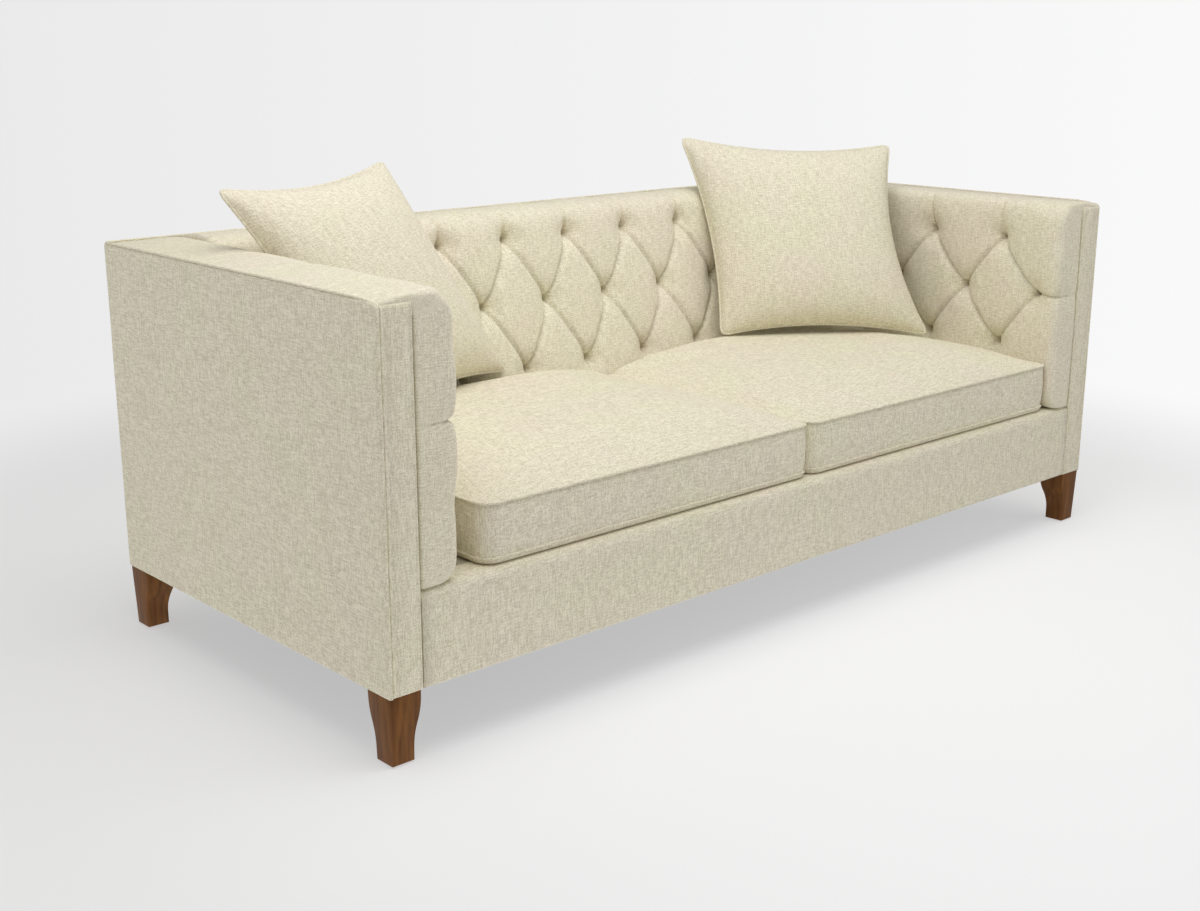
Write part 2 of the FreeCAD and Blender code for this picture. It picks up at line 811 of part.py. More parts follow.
def cushion_form(left, right, profile, steps):
    return soft_loft([cushion_outline(left, right, z, inset) for z, inset in profile], steps)


def piping_ring(left, right, z):
    path = walk(cushion_outline(left, right, z, piping_radius + seat_gap), corner_steps)
    return cord_round(path, Vector(0, 0, 1), piping_radius, True)


for side, left, right in (("left", -seat_half + seat_gap, -seat_gap),
                          ("right", seat_gap, seat_half - seat_gap)):
    form = cushion_form(left, right, cushion_profile, corner_steps)
    core = cushion_form(left, right, foam_profile, 2)
    node("seat_cushion_%s_cover" % side, form.cut(core).Solids[0])
    node("seat_cushion_%s_foam" % side, core)
    node("seat_cushion_%s_piping" % side, piping_ring(left, right, bottom_seam),
         piping_ring(left, right, top_seam))

# Scatter cushions: two panels sewn edge to edge round a filling, leaning in the corners


class Lean:
    """Where a scatter cushion lies: its middle, and its axes across, up and out.

    It turns about the vertical, leans back and rolls in its own plane, in degrees. Slump
    skews it sideways, as a soft cushion sags.
    """

    def __init__(self, middle, turn, lean, roll, slump):
        t, l, r = math.radians(turn), math.radians(lean), math.radians(roll)
        level = Vector(math.cos(t), math.sin(t), 0)
        behind = Vector(-math.sin(t), math.cos(t), 0)
        upright = behind * math.sin(l) + Vector(0, 0, math.cos(l))
        self.middle = Vector(*middle)
        self.across = level * math.cos(r) + upright * math.sin(r)
        self.up = upright * math.cos(r) - level * math.sin(r) + self.across * slump
        self.out = behind * -math.cos(l) + Vector(0, 0, math.sin(l))

    def point(self, across, up, out):
        return self.middle + self.across * across + self.up * up + self.out * out


def scatter_outline(lean, scale, out, draw_in):
    """Four arcs between the corners. draw_in pulls the middle of each side inwards."""
    w, h = scatter_width / 2 * scale, scatter_height / 2 * scale
    corners = [(-w, -h), (w, -h), (w, h), (-w, h)]
    middles = [(0, -h + draw_in), (w - draw_in, 0), (0, h - draw_in), (-w + draw_in, 0)]
    return [arc(lean.point(*corners[i], out), lean.point(*middles[i], out),
                lean.point(*corners[(i + 1) % 4], out)) for i in range(4)]


# Share of the full size, share of the puff, and how far the sides draw in
scatter_profile = ((0.30, 1.0, -26.0), (0.52, 0.92, -18.0), (0.70, 0.76, -9.0),
                   (0.84, 0.52, 3.0), (0.94, 0.26, 14.0))
filling_profile = ((0.30, 1.0, -26.0), (0.70, 0.76, -9.0))


def scatter_form(lean, profile, shrink, steps):
    rear, front = scatter_rear_puff - shrink, scatter_front_puff - shrink
    inner = 1 - 2 * shrink / scatter_width
    rows = [(scale, -height * rear, bow) for scale, height, bow in profile]
    rows.append((0.97 if shrink else 1.0, 0.0, scatter_draw_in))
    rows += [(scale, height * front, bow) for scale, height, bow in reversed(profile)]
    return soft_loft([scatter_outline(lean, scale * inner, out, bow) for scale, out, bow in rows],
                     steps)


def scatter_piping(lean):
    """Round the edge of the cushion, just clear of the two panels' seam."""
    reach = 1 + 2 * (piping_radius + 2 * seat_gap) / scatter_width
    path = walk(scatter_outline(lean, reach, 0.0, scatter_draw_in), scatter_steps)
    return cord_round(path, lean.out, piping_radius, True)


scatter_places = {
    "left": Lean((-seat_half + left_scatter_in, back_skin_at_platform + left_scatter_behind,
                  cushion_top + left_scatter_rise), 19.48, 23.61, 1.42, -0.30),
    "right": Lean((seat_half - right_scatter_in, back_skin_at_platform - right_scatter_ahead,
                   cushion_top + right_scatter_rise), -35.08, 25.0, -1.78, -0.15),
}
for side, lean in scatter_places.items():
    form = scatter_form(lean, scatter_profile, 0.0, scatter_steps)
    filling = scatter_form(lean, filling_profile, scatter_shell, 2)
    node("scatter_cushion_%s_cover" % side, form.cut(filling).Solids[0])
    node("scatter_cushion_%s_filling" % side, filling)
    node("scatter_cushion_%s_piping" % side, scatter_piping(lean))

os.makedirs("parts", exist_ok=True)
for name, shape in nodes.items():
    shape.exportStep("parts/%s.step" % name)
    sound = all(s.isValid() and s.Volume > 0 for s in shape.Solids)
    print("%-30s solids %2d  volume %10.0f  %s" % (name, len(shape.Solids), shape.Volume,
                                                   "sound" if sound else "NOT SOUND"))
print("nodes", len(nodes))
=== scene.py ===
import bpy
import bmesh
import json
import math
import numpy as np
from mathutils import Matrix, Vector


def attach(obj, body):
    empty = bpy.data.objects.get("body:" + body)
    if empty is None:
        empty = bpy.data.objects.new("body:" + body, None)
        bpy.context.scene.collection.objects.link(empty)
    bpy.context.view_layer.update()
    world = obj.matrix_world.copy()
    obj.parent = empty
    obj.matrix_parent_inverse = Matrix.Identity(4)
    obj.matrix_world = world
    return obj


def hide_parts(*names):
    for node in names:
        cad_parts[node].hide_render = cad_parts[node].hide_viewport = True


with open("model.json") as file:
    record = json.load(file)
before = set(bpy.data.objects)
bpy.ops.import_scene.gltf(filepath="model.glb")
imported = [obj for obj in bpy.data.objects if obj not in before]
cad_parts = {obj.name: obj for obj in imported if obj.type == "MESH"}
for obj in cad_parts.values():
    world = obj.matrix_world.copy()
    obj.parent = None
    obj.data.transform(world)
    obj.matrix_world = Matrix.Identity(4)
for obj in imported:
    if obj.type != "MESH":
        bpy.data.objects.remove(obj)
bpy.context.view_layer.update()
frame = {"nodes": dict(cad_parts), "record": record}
bpy.ops.object.select_all(action="DESELECT")

# Camera, floor and light
# The camera looks down a little past the front left corner. A pale floor runs on into a pale
# wall, greyer at the left. Soft light comes from the whole room and off the floor, and three
# lamps light the seat from above, from the upper left and from the right.
scene = bpy.context.scene
scene.view_settings.view_transform = "Standard"
camera_place = (-2.423, -2.490, 1.207)
camera_yaw = 42.33
camera_pitch = 15.199
bpy.ops.object.camera_add(location=camera_place,
                          rotation=(math.radians(90 - camera_pitch), 0, math.radians(-camera_yaw)))
camera = bpy.context.object
camera.data.sensor_fit = "HORIZONTAL"
camera.data.sensor_width = 36
camera.data.lens = 47.58
scene.camera = camera

studio_left = (0.825, 0.825, 0.825, 1)
studio_middle = (0.885, 0.885, 0.887, 1)
studio_right = (0.95, 0.95, 0.952, 1)
picture_half_angle = 20.7
fade_half_angle = 120
shadow_share = 0.50
shadow_reach = (1.5, 2.7)
near_glow = 1.75
far_glow = 0.65
glow_middle = (-1.6, 0.8, 0)
glow_reach = (1.0, 3.2)
floor_lift = 1.10
room_light = 0.28


def material(name, shade, roughness):
    """A new material: its nodes, its links and its shader."""
    finish = bpy.data.materials.new(name)
    finish.use_nodes = True
    nodes, links = finish.node_tree.nodes, finish.node_tree.links
    shader = nodes["Principled BSDF"]
    shader.inputs["Base Color"].default_value = shade
    shader.inputs["Roughness"].default_value = roughness
    return finish, nodes, links, shader


def ranged(nodes, links, value, start, end, low=0, high=1):
    """Turns a value between start and end into one between low and high."""
    scale = nodes.new("ShaderNodeMapRange")
    for socket, number in zip(("From Min", "From Max", "To Min", "To Max"), (start, end, low, high)):
        scale.inputs[socket].default_value = number
    links.new(value, scale.inputs["Value"])
    return scale


def on_vectors(nodes, links, operation, *terms):
    """A sum on vectors. Each term is another node's output or a fixed vector."""
    step = nodes.new("ShaderNodeVectorMath")
    step.operation = operation
    for socket, term in zip(step.inputs, terms):
        if isinstance(term, bpy.types.NodeSocket):
            links.new(term, socket)
        else:
            socket.default_value = term
    return step


def colour_ramp(nodes, links, value, first, last, *between):
    """A colour for each value, from stops of place and colour."""
    ramp = nodes.new("ShaderNodeValToRGB")
    stops = ramp.color_ramp.elements
    for stop, (place, colour) in zip(stops, (first, last)):
        stop.position = place
        stop.color = colour
    for place, colour in between:
        stops.new(place).color = colour
    links.new(value, ramp.inputs["Fac"])
    return ramp


def studio():
    """A pale surface that glows a little, so that shadows on it stay light. Its tone
    changes with the direction from the camera's foot, and far off it only glows."""
    finish, nodes, links, shader = material("pale_studio", (0.90, 0.90, 0.90, 1), roughness=0.9)
    shader.inputs["Specular IOR Level"].default_value = 0.05
    place = nodes.new("ShaderNodeTexCoord")
    centred = nodes.new("ShaderNodeMapping")
    centred.inputs["Location"].default_value = (-camera_place[0], -camera_place[1], 0)
    links.new(place.outputs["Object"], centred.inputs["Vector"])
    direction = nodes.new("ShaderNodeTexGradient")
    direction.gradient_type = "RADIAL"
    links.new(centred.outputs["Vector"], direction.inputs["Vector"])
    ahead = 90 - camera_yaw
    spread = ranged(nodes, links, direction.outputs["Fac"],
                    0.5 + (ahead + fade_half_angle) / 360, 0.5 + (ahead - fade_half_angle) / 360)
    half_picture = picture_half_angle / fade_half_angle / 2
    tone = colour_ramp(nodes, links, spread.outputs[0], (0, studio_middle), (1, studio_middle),
                       (0.5 - half_picture, studio_left), (0.5, studio_middle),
                       (0.5 + half_picture, studio_right))
    glow = nodes.new("ShaderNodeEmission")
    links.new(tone.outputs["Color"], glow.inputs["Color"])
    distance = on_vectors(nodes, links, "LENGTH", place.outputs["Object"])
    from_glow = on_vectors(nodes, links, "DISTANCE", place.outputs["Object"], glow_middle)
    bounce = ranged(nodes, links, from_glow.outputs["Value"], *glow_reach, near_glow, far_glow)
    lift = ranged(nodes, links, distance.outputs["Value"], *shadow_reach, floor_lift, 1)
    rays = nodes.new("ShaderNodeLightPath")
    strength = ranged(nodes, links, rays.outputs["Is Camera Ray"], 0, 1)
    links.new(bounce.outputs[0], strength.inputs["To Min"])
    links.new(lift.outputs[0], strength.inputs["To Max"])
    links.new(strength.outputs[0], glow.inputs["Strength"])
    share = ranged(nodes, links, distance.outputs["Value"], *shadow_reach, 1 - shadow_share, 1)
    share.interpolation_type = "SMOOTHSTEP"
    mix = nodes.new("ShaderNodeMixShader")
    links.new(share.outputs[0], mix.inputs["Fac"])
    links.new(shader.outputs["BSDF"], mix.inputs[1])
    links.new(glow.outputs["Emission"], mix.inputs[2])
    links.new(mix.outputs["Shader"], nodes["Material Output"].inputs["Surface"])
    return finish


bpy.ops.mesh.primitive_plane_add(size=110, location=(0, 0, -0.0005))
floor = bpy.context.object
floor.name = "floor"
bpy.ops.mesh.primitive_cylinder_add(vertices=64, radius=50, depth=6, end_fill_type="NOTHING")
wall = bpy.context.object
wall.name = "wall"
for backdrop in (floor, wall):
    backdrop.data.materials.append(studio())

world = bpy.data.worlds.new("room")
scene.world = world
world.use_nodes = True
room = world.node_tree
ambient = room.nodes["Background"]
ambient.inputs["Color"].default_value = (1, 1, 1, 1)
seen = room.nodes.new("ShaderNodeLightPath")
sky = ranged(room.nodes, room.links, seen.outputs["Is Camera Ray"], 0, 1, room_light, studio_middle[0])
room.links.new(sky.outputs[0], ambient.inputs["Strength"])


def lamp(name, place, aim, size, power):
    """A square soft lamp: its size in metres, its power in watts."""
    bpy.ops.object.light_add(type="AREA", location=place)
    light = bpy.context.object
    light.name = name
    light.data.size = size
    light.data.energy = power
    way = Vector(np.subtract(aim, place))
    light.rotation_euler = way.to_track_quat("-Z", "Y").to_euler()


lamp("overhead", (0.10, -0.80, 3.1), aim=(0, 0, 0.4), size=2.2, power=40)
lamp("upper_left", (-1.2, -0.5, 2.7), aim=(0.6, 0.1, 0.5), size=1.6, power=21)
lamp("right", (2.6, -2.6, 1.0), aim=(0.6, 0, 0.3), size=1.6, power=11)


# Linen
# One cloth covers the whole sofa: an undyed linen with a plain weave. Thick and thin threads
# leave short light and dark flecks along and across, and the colour drifts a little.
linen_light = (0.92, 0.88, 0.755, 1)
linen_dark = (0.65, 0.60, 0.48, 1)
linen_streak = (60.0, 430.0)
drift_warm = (0.985, 0.953, 0.910, 1)
drift_green = (0.970, 0.971, 0.885, 1)
drift_size = 7
fleck_size = 400
fleck_share = 0.9
fleck_middle = 0.45
fleck_reach = 0.30
laid_threads = (1, 0.75, 0)


def noise(nodes, links, vector, size, detail):
    texture = nodes.new("ShaderNodeTexNoise")
    texture.inputs["Scale"].default_value = size
    texture.inputs["Detail"].default_value = detail
    links.new(vector, texture.inputs["Vector"])
    return texture


def linen(name, light, dark, streak=linen_streak, laid=False):
    """streak is how fast a thread changes along and across itself. laid cloth has its
    threads along the piece's own UV map, other cloth along the axes."""
    finish, nodes, links, shader = material(name, light, roughness=0.92)
    shader.inputs["Specular IOR Level"].default_value = 0.15
    shader.inputs["Sheen Weight"].default_value = 0.10
    shader.inputs["Sheen Roughness"].default_value = 0.6
    place = nodes.new("ShaderNodeTexCoord")
    surface = place.outputs["UV" if laid else "Object"]
    threads = nodes.new("ShaderNodeCombineXYZ")
    for axis in range(3):
        turn = nodes.new("ShaderNodeMapping")
        turn.inputs["Scale"].default_value = [streak[0] if k == axis else streak[1] for k in range(3)]
        turn.inputs["Location"].default_value = (axis * 3.1, axis * 1.7, axis * 5.3)
        links.new(surface, turn.inputs["Vector"])
        thread = noise(nodes, links, turn.outputs["Vector"], size=1, detail=1)
        links.new(thread.outputs["Fac"], threads.inputs[axis])
    even = on_vectors(nodes, links, "SUBTRACT", threads.outputs["Vector"], (0.5, 0.5, 0.5))
    facing_axis = on_vectors(nodes, links, "ABSOLUTE", place.outputs["Normal"])
    in_plane = on_vectors(nodes, links, "SUBTRACT", (1, 1, 1), facing_axis.outputs["Vector"])
    weave = on_vectors(nodes, links, "DOT_PRODUCT", even.outputs["Vector"],
                       laid_threads if laid else in_plane.outputs["Vector"])
    fleck = noise(nodes, links, surface, fleck_size, detail=0)
    flecked = nodes.new("ShaderNodeMath")
    flecked.operation = "MULTIPLY_ADD"
    flecked.inputs[1].default_value = fleck_share
    links.new(fleck.outputs["Fac"], flecked.inputs[0])
    links.new(weave.outputs["Value"], flecked.inputs[2])
    spread = ranged(nodes, links, flecked.outputs[0],
                    fleck_middle - fleck_reach, fleck_middle + fleck_reach)
    cloth = nodes.new("ShaderNodeMixRGB")
    cloth.inputs["Color1"].default_value = dark
    cloth.inputs["Color2"].default_value = light
    links.new(spread.outputs[0], cloth.inputs["Fac"])
    patches = noise(nodes, links, place.outputs["Object"], drift_size, detail=3)
    drift = colour_ramp(nodes, links, patches.outputs["Fac"], (0.38, drift_warm), (0.62, drift_green))
    tint = nodes.new("ShaderNodeMixRGB")
    tint.blend_type = "MULTIPLY"
    tint.inputs["Fac"].default_value = 1
    links.new(drift.outputs["Color"], tint.inputs["Color2"])
    links.new(cloth.outputs["Color"], tint.inputs["Color1"])
    links.new(tint.outputs["Color"], shader.inputs["Base Color"])
    relief = nodes.new("ShaderNodeBump")
    relief.inputs["Strength"].default_value = 0.5
    relief.inputs["Distance"].default_value = 0.0004
    links.new(spread.outputs[0], relief.inputs["Height"])
    links.new(relief.outputs["Normal"], shader.inputs["Normal"])
    return finish


cover_linen = linen("linen_cover", linen_light, linen_dark)
laid_linen = linen("linen_laid", linen_light, linen_dark, laid=True)


# Arm pads
# Foam and wadding under linen, drawn in by three rows of covered buttons. Pleats run
# between the buttons in diamonds, roll over the top of the arm and fade out at the welt.
def positions(obj):
    flat = np.zeros(len(obj.data.vertices) * 3, np.float32)
    obj.data.vertices.foreach_get("co", flat)
    return flat.reshape(-1, 3).astype(float)


def reshape(obj, places):
    obj.data.vertices.foreach_set("co", places.astype(np.float32).ravel())
    obj.data.update()


def cut_along(obj, axis, low, high, cells):
    """Cuts the edges that run along an axis, between two places, into equal cells."""
    if cells < 2:
        return
    mesh = bmesh.from_edit_mesh(obj.data)
    bpy.ops.mesh.select_all(action="DESELECT")
    for edge in mesh.edges:
        a, b = edge.verts[0].co[axis], edge.verts[1].co[axis]
        if abs(a - b) > 1e-5 and low < (a + b) / 2 < high:
            edge.select_set(True)
    bmesh.update_edit_mesh(obj.data)
    bpy.ops.mesh.subdivide(number_cuts=cells - 1)


def block(name, grid):
    """A cube cut into a grid at the places given along X, Y and Z, and its vertices' places."""
    bpy.ops.mesh.primitive_cube_add(size=1)
    obj = bpy.context.object
    obj.name = obj.data.name = name
    bpy.ops.object.mode_set(mode="EDIT")
    bpy.ops.mesh.select_mode(type="EDGE")
    for axis, places in enumerate(grid):
        cells = len(places) - 1
        parts = -(-cells // 100)
        cut_along(obj, axis, -1, 1, parts)
        for k in range(parts):
            share = cells // parts + (k < cells % parts)
            cut_along(obj, axis, k / parts - 0.5, (k + 1) / parts - 0.5, share)
    bpy.ops.object.mode_set(mode="OBJECT")
    co = positions(obj)
    for axis, places in enumerate(grid):
        order = np.argsort(co[:, axis])
        sorted_co = co[order, axis]
        rank = np.empty(len(co), int)
        rank[order] = np.cumsum(np.diff(sorted_co, prepend=sorted_co[0]) > 1e-4)
        co[:, axis] = np.asarray(places)[rank]
    return obj, co


def cells(*stops):
    """Places from stop to stop: each stop is (place, largest step to it from the last)."""
    places = [stops[0][0]]
    for place, step in stops[1:]:
        count = max(1, math.ceil(abs(place - places[-1]) / step - 1e-6))
        start = places[-1]
        places += [start + (place - start) * (k + 1) / count for k in range(count)]
    return places


def smooth_path(points):
    """Cuts the corners of a row of points until it runs smoothly."""
    path = np.array(points, float)
    for _ in range(4):
        a, b = path[:-1], path[1:]
        cut = np.empty((2 * len(a), 2))
        cut[0::2] = 0.75 * a + 0.25 * b
        cut[1::2] = 0.25 * a + 0.75 * b
        path = np.vstack([path[:1], cut, path[-1:]])
    return path


def path_lengths(path):
    return np.concatenate([[0], np.cumsum(np.hypot(*np.diff(path, axis=0).T))])


def round_edge(a, b, radius):
    """Turns the square corner at a = b = 0 into an arc. a and b are distances from it."""
    ca, cb = a - radius, b - radius
    near = (ca < 0) & (cb < 0)
    reach = np.maximum(np.abs(ca), np.abs(cb))
    length = np.maximum(np.hypot(ca, cb), 1e-9)
    return (np.where(near, radius + ca * reach / length, a),
            np.where(near, radius + cb * reach / length, b))


def from_pleat(places):
    """Distance from the nearest pleat: 0 on it, 1 midway to the next."""
    return np.abs(places - np.round(places)) * 2


def pull(distance):
    """How far a pleat draws the cloth in: 1 on the pleat, 0 in the middle of the puff."""
    t = np.clip(distance, 0, 1)
    return 0.7 * (1 - np.sqrt(np.maximum(1 - (1 - t) ** 2.5, 0))) + 0.3 * (1 - t) ** 2


pleat_depth = 0.0095
fold_depth = 0.0072
fold_width = 0.06
fold_fade = 0.10
dimple_depth = 0.0260
dimple_reach = 0.068
pit_depth = 0.0650
pit_radius = 0.0062
pit_slope = 0.0032
meeting = 1.2
meeting_reach = 0.02


def tufting(u, s, rows, pitch, button, first, last):
    """Depth of the skin at a place along the pad (u) and up it (s). button is a button of
    the top row, first and last are the outermost ones of the middle row."""
    top, middle, bottom = rows
    v = np.interp(-s, [-top, -middle, -bottom], [0, 1, 2])
    column = (u - button) / pitch
    right, left = from_pleat(column + v / 2), from_pleat(column - v / 2)
    inside = np.minimum(np.hypot(pull(right), pull(left)), meeting)
    beyond = np.maximum(s - top, bottom - s)
    past = np.maximum(first - u, u - last)
    fade = np.clip(np.exp(-(s - top - 0.02) / fold_fade), 0.10, 1)
    swell = (meeting - 1) * np.exp(-np.maximum(beyond, 0) / meeting_reach)
    upright = pull(from_pleat(column)) * (fade + swell)
    swell = (meeting - 1) * np.exp(-np.maximum(past, 0) / meeting_reach)
    level = pull(np.abs(v - 1)) * (1 + swell)
    above, beside = beyond > 0, past > 0
    pulls = np.where(above, np.where(beside, 0, upright), np.where(beside, level, inside))
    to_fold = np.where(above, np.where(beside, 1, from_pleat(column)),
                       np.where(beside, np.abs(v - 1), np.minimum(right, left)))
    fold = np.clip(1 - to_fold / fold_width, 0, 1) * np.where(above, fade, 1)
    even_row = np.hypot(from_pleat(column) * pitch / 2, np.minimum(np.abs(s - top), np.abs(s - bottom)))
    odd_row = np.hypot(from_pleat(column + 0.5) * pitch / 2, s - middle)
    from_button = np.minimum(even_row, odd_row)
    dimple = np.clip(1 - from_button / dimple_reach, 0, 1) ** 2.5
    pit = np.clip(1 - (from_button - pit_radius) / pit_slope, 0, 1)
    well = pit_depth - meeting * pleat_depth - fold_depth - dimple_depth
    return pleat_depth * pulls + fold_depth * fold + dimple_depth * dimple + well * pit


def wander(co, size, height):
    """A slow, steady unevenness, as stuffed cloth has."""
    waves = ((1.0, 0.3, 0.7, 0.2), (0.4, 1.1, 0.5, 1.9), (0.8, 0.6, 1.3, 3.1), (1.7, 1.4, 0.2, 4.4))
    total = sum(np.sin((co @ np.array(w[:3])) * math.tau / size + w[3]) for w in waves)
    return height * total / len(waves)


def crease(obj, depth):
    """Splits each four-sided face along the diagonal that lies deeper, so pleats run clean."""
    mesh = bmesh.new()
    mesh.from_mesh(obj.data)
    mesh.verts.ensure_lookup_table()
    for face in list(mesh.faces):
        corners = face.verts[:]
        dips = [depth[v.index] for v in corners]
        if len(corners) == 4 and max(dips) - min(dips) > 0.0006:
            k = 0 if dips[0] + dips[2] > dips[1] + dips[3] else 1
            bmesh.utils.face_split(face, corners[k], corners[k + 2])
    mesh.to_mesh(obj.data)
    mesh.free()


def lay_cloth(obj, across, along):
    """Lays the cloth on a piece: places in metres across and along it, one for each vertex."""
    corners = np.empty(len(obj.data.loops), np.int32)
    obj.data.loops.foreach_get("vertex_index", corners)
    cloth_map = obj.data.uv_layers[0]
    cloth_map.data.foreach_set("uv", np.stack([across, along], -1)[corners].astype(np.float32).ravel())


def dress(obj, finish, body, nodes=()):
    """Gives a finished piece its material, its body and the nodes that it stands for."""
    obj.data.materials.clear()
    obj.data.materials.append(finish)
    for polygon in obj.data.polygons:
        polygon.use_smooth = True
    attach(obj, body)
    if nodes:
        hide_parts(*nodes)
    bpy.ops.object.select_all(action="DESELECT")


def mirrored(obj, name):
    """The same piece on the left: a copy with its own mesh, its faces turned to suit."""
    copy = obj.copy()
    copy.data = obj.data.copy()
    copy.name = copy.data.name = name
    scene.collection.objects.link(copy)
    reshape(copy, positions(obj) * (-1, 1, 1))
    copy.data.flip_normals()
    return copy


seat_side = 0.893
panel_side = 0.976
outer_side = 1.050
front_face = -0.465
frame_foot = 0.2336
frame_head = 0.3615
inner_back = 0.4547
panel_top = 0.765
seam_top = 0.793
platform = 0.304
pleat_cells = 24
arm_rows = (0.709, 0.580, 0.450)
arm_pitch = 0.205
arm_first = -0.390
arm_last = arm_first + 3 * arm_pitch
arm_front_round = 0.018
arm_corner_round = 0.0085
arm_rear_round = 0.005
arm_round_narrows = 0.945
arm_seam_fade = 0.05
arm_tuft_reach = 0.07
arm_front_turn = 0.03
arm_front_puff = 0.0095
arm_puff_depth = 0.085
arm_above_seat = (0.430, 0.780)
arm_shoulder = (0.903, 0.796)
arm_shoulder_fall = 0.008
arm_side_crease = 0.011
arm_fall_start = 0.36
arm_outer_end = 1.020
arm_outer_drop = 0.005
under_welt = 0.7945
stuffing_waviness = 0.0016
arm_thick = panel_side - seat_side
arm_path = smooth_path([(0.955, 0.3045), (0.912, 0.3045), (0.8935, 0.3225), (0.8932, 0.365),
                        (0.8932, 0.720), (0.8940, 0.768), (0.902, 0.7985), (0.932, 0.8050),
                        (0.985, 0.8005), (1.020, 0.7965), (1.045, under_welt)])
arm_lengths = path_lengths(arm_path)
upright_point = int(np.argmax(arm_path[:, 1] > 0.5))
arm_zero = arm_path[upright_point, 1] - arm_lengths[upright_point]
arm_top = arm_lengths[-1] + arm_zero


def gathered(places, marks):
    """Draws the places between neighbouring marks towards the marks, where the pits are."""
    places = np.array(places)
    for low, high in zip(marks[:-1], marks[1:]):
        t = (places - low) / (high - low)
        inside = (t > 0) & (t < 1)
        places[inside] -= 0.35 * (high - low) * np.sin(math.tau * t[inside]) / math.tau
    return places


def row_stops(rows, start, end, step):
    """Places up a pad: as many between its rows of buttons as between its columns."""
    places = cells((start, 1), (rows[2], 0.0115), (rows[1], (rows[1] - rows[2]) / pleat_cells),
                   (rows[0], (rows[0] - rows[1]) / pleat_cells), (end, step))
    return gathered(places, rows[::-1])


arm_step = arm_pitch / 2 / pleat_cells
arm_grid = (
    cells((0, 1), (0.018 / arm_thick, 0.0036 / arm_thick), (1 - 0.012 / arm_thick, 0.2),
          (1, 0.003 / arm_thick)),
    gathered(cells((front_face, 1), (front_face + arm_front_round, 0.003), (arm_first, arm_step),
                   (arm_last, arm_step), (inner_back, 0.012)),
             [arm_first + k * arm_pitch / 2 for k in range(7)]),
    row_stops(arm_rows, arm_zero, arm_top, 0.0055))


def arm_pad():
    """The grid runs in from the skin (share), back along the arm (y) and up the skin (s)."""
    obj, co = block("right_arm_pad_tufted", arm_grid)
    share, y, s = co.T
    y_laid = y.copy()
    skin = np.stack([np.interp(s - arm_zero, arm_lengths, arm_path[:, k]) for k in (0, 1)], -1)
    rear = np.stack([np.maximum(skin[:, 0], panel_side), np.minimum(skin[:, 1], panel_top)], -1)
    inward = rear - skin
    thick = np.linalg.norm(inward, axis=1)
    inward /= thick[:, None]
    in_from_skin = share * thick
    front = y - front_face
    below_top = s < panel_top
    rounding = np.interp(skin[:, 0], [arm_round_narrows, panel_side], [arm_front_round, arm_corner_round])
    behind, inside = round_edge(front, in_from_skin, rounding)
    behind, outside = round_edge(behind, np.where(below_top, thick - inside, 1), arm_rear_round)
    inside = np.where(below_top, thick - outside, inside)
    depth = tufting(y, s, arm_rows, arm_pitch, arm_first + arm_pitch / 2, arm_first, arm_last)
    near_seam = np.clip((arm_top - s) / arm_seam_fade, 0, 1)
    inside = inside + depth * near_seam * np.clip(1 - in_from_skin / arm_tuft_reach, 0, 1)
    at_front = np.clip(1 - front / arm_front_turn, 0, 1)
    inside = inside - 0.002 * at_front * share * below_top
    end_puff = (1 - np.clip(front / arm_puff_depth, 0, 1) ** 2) * (1 - np.clip(share * 1.3, 0, 1) ** 2)
    low, high = arm_above_seat
    above_seat = np.sin(np.clip((s - low) / (high - low), 0, 1) * math.pi) ** 0.7
    shoulder = np.exp(-((skin[:, 1] - arm_shoulder[1]) / 0.016) ** 2
                      - ((skin[:, 0] - arm_shoulder[0]) / 0.018) ** 2)
    inside = inside + end_puff * (arm_shoulder_fall * shoulder - arm_front_puff * above_seat)
    crease_depth = arm_side_crease * pull(np.abs(s - arm_rows[1]) / 0.05) * at_front
    behind = behind + crease_depth * np.clip(1.2 - in_from_skin / arm_thick, 0, 1)
    belly = np.sin(np.clip((s - platform) / (seam_top - platform), 0, 1) * math.pi) ** 0.5
    behind = behind + 0.003 * at_front * (1 - belly)
    reach = np.interp(skin[:, 1], [platform, panel_top, 0.792], [frame_foot, frame_head, inner_back])
    depth_share = (reach - arm_last) / (inner_back - arm_last)
    y = np.where(y > arm_last, arm_last + (y - arm_last) * depth_share, front_face + behind)
    co = np.stack([skin[:, 0] + inward[:, 0] * inside, y, skin[:, 1] + inward[:, 1] * inside], -1)
    over_facing = (co[:, 0] > panel_side - 0.001) & (front < 0.002)
    co[:, 1] += np.where(over_facing, 0.0020 * share - 0.0003, 0)
    top_fall = np.clip((co[:, 1] - arm_fall_start) / (inner_back - arm_fall_start), 0, 1) ** 2
    co[:, 2] -= np.maximum(co[:, 2] - under_welt, 0) * top_fall
    outer_end = (np.clip((co[:, 0] - arm_outer_end) / 0.025, 0, 1) ** 2
                 * np.clip(1 - front / 0.06, 0, 1))
    co[:, 2] -= arm_outer_drop * outer_end
    co[:, 0] += np.abs(wander(co, size=0.42, height=stuffing_waviness)) * np.clip(1 - share * 4, 0, 1)
    reshape(obj, co)
    crease(obj, np.where(share < 0.5, depth, 0))
    lay_cloth(obj, y_laid - in_from_skin, s)
    return obj


right_pad = arm_pad()
left_pad = mirrored(right_pad, "left_arm_pad_tufted")
for pad, node in ((right_pad, "right_arm_pad"), (left_pad, "left_arm_pad")):
    dress(pad, laid_linen, "frame", [node])

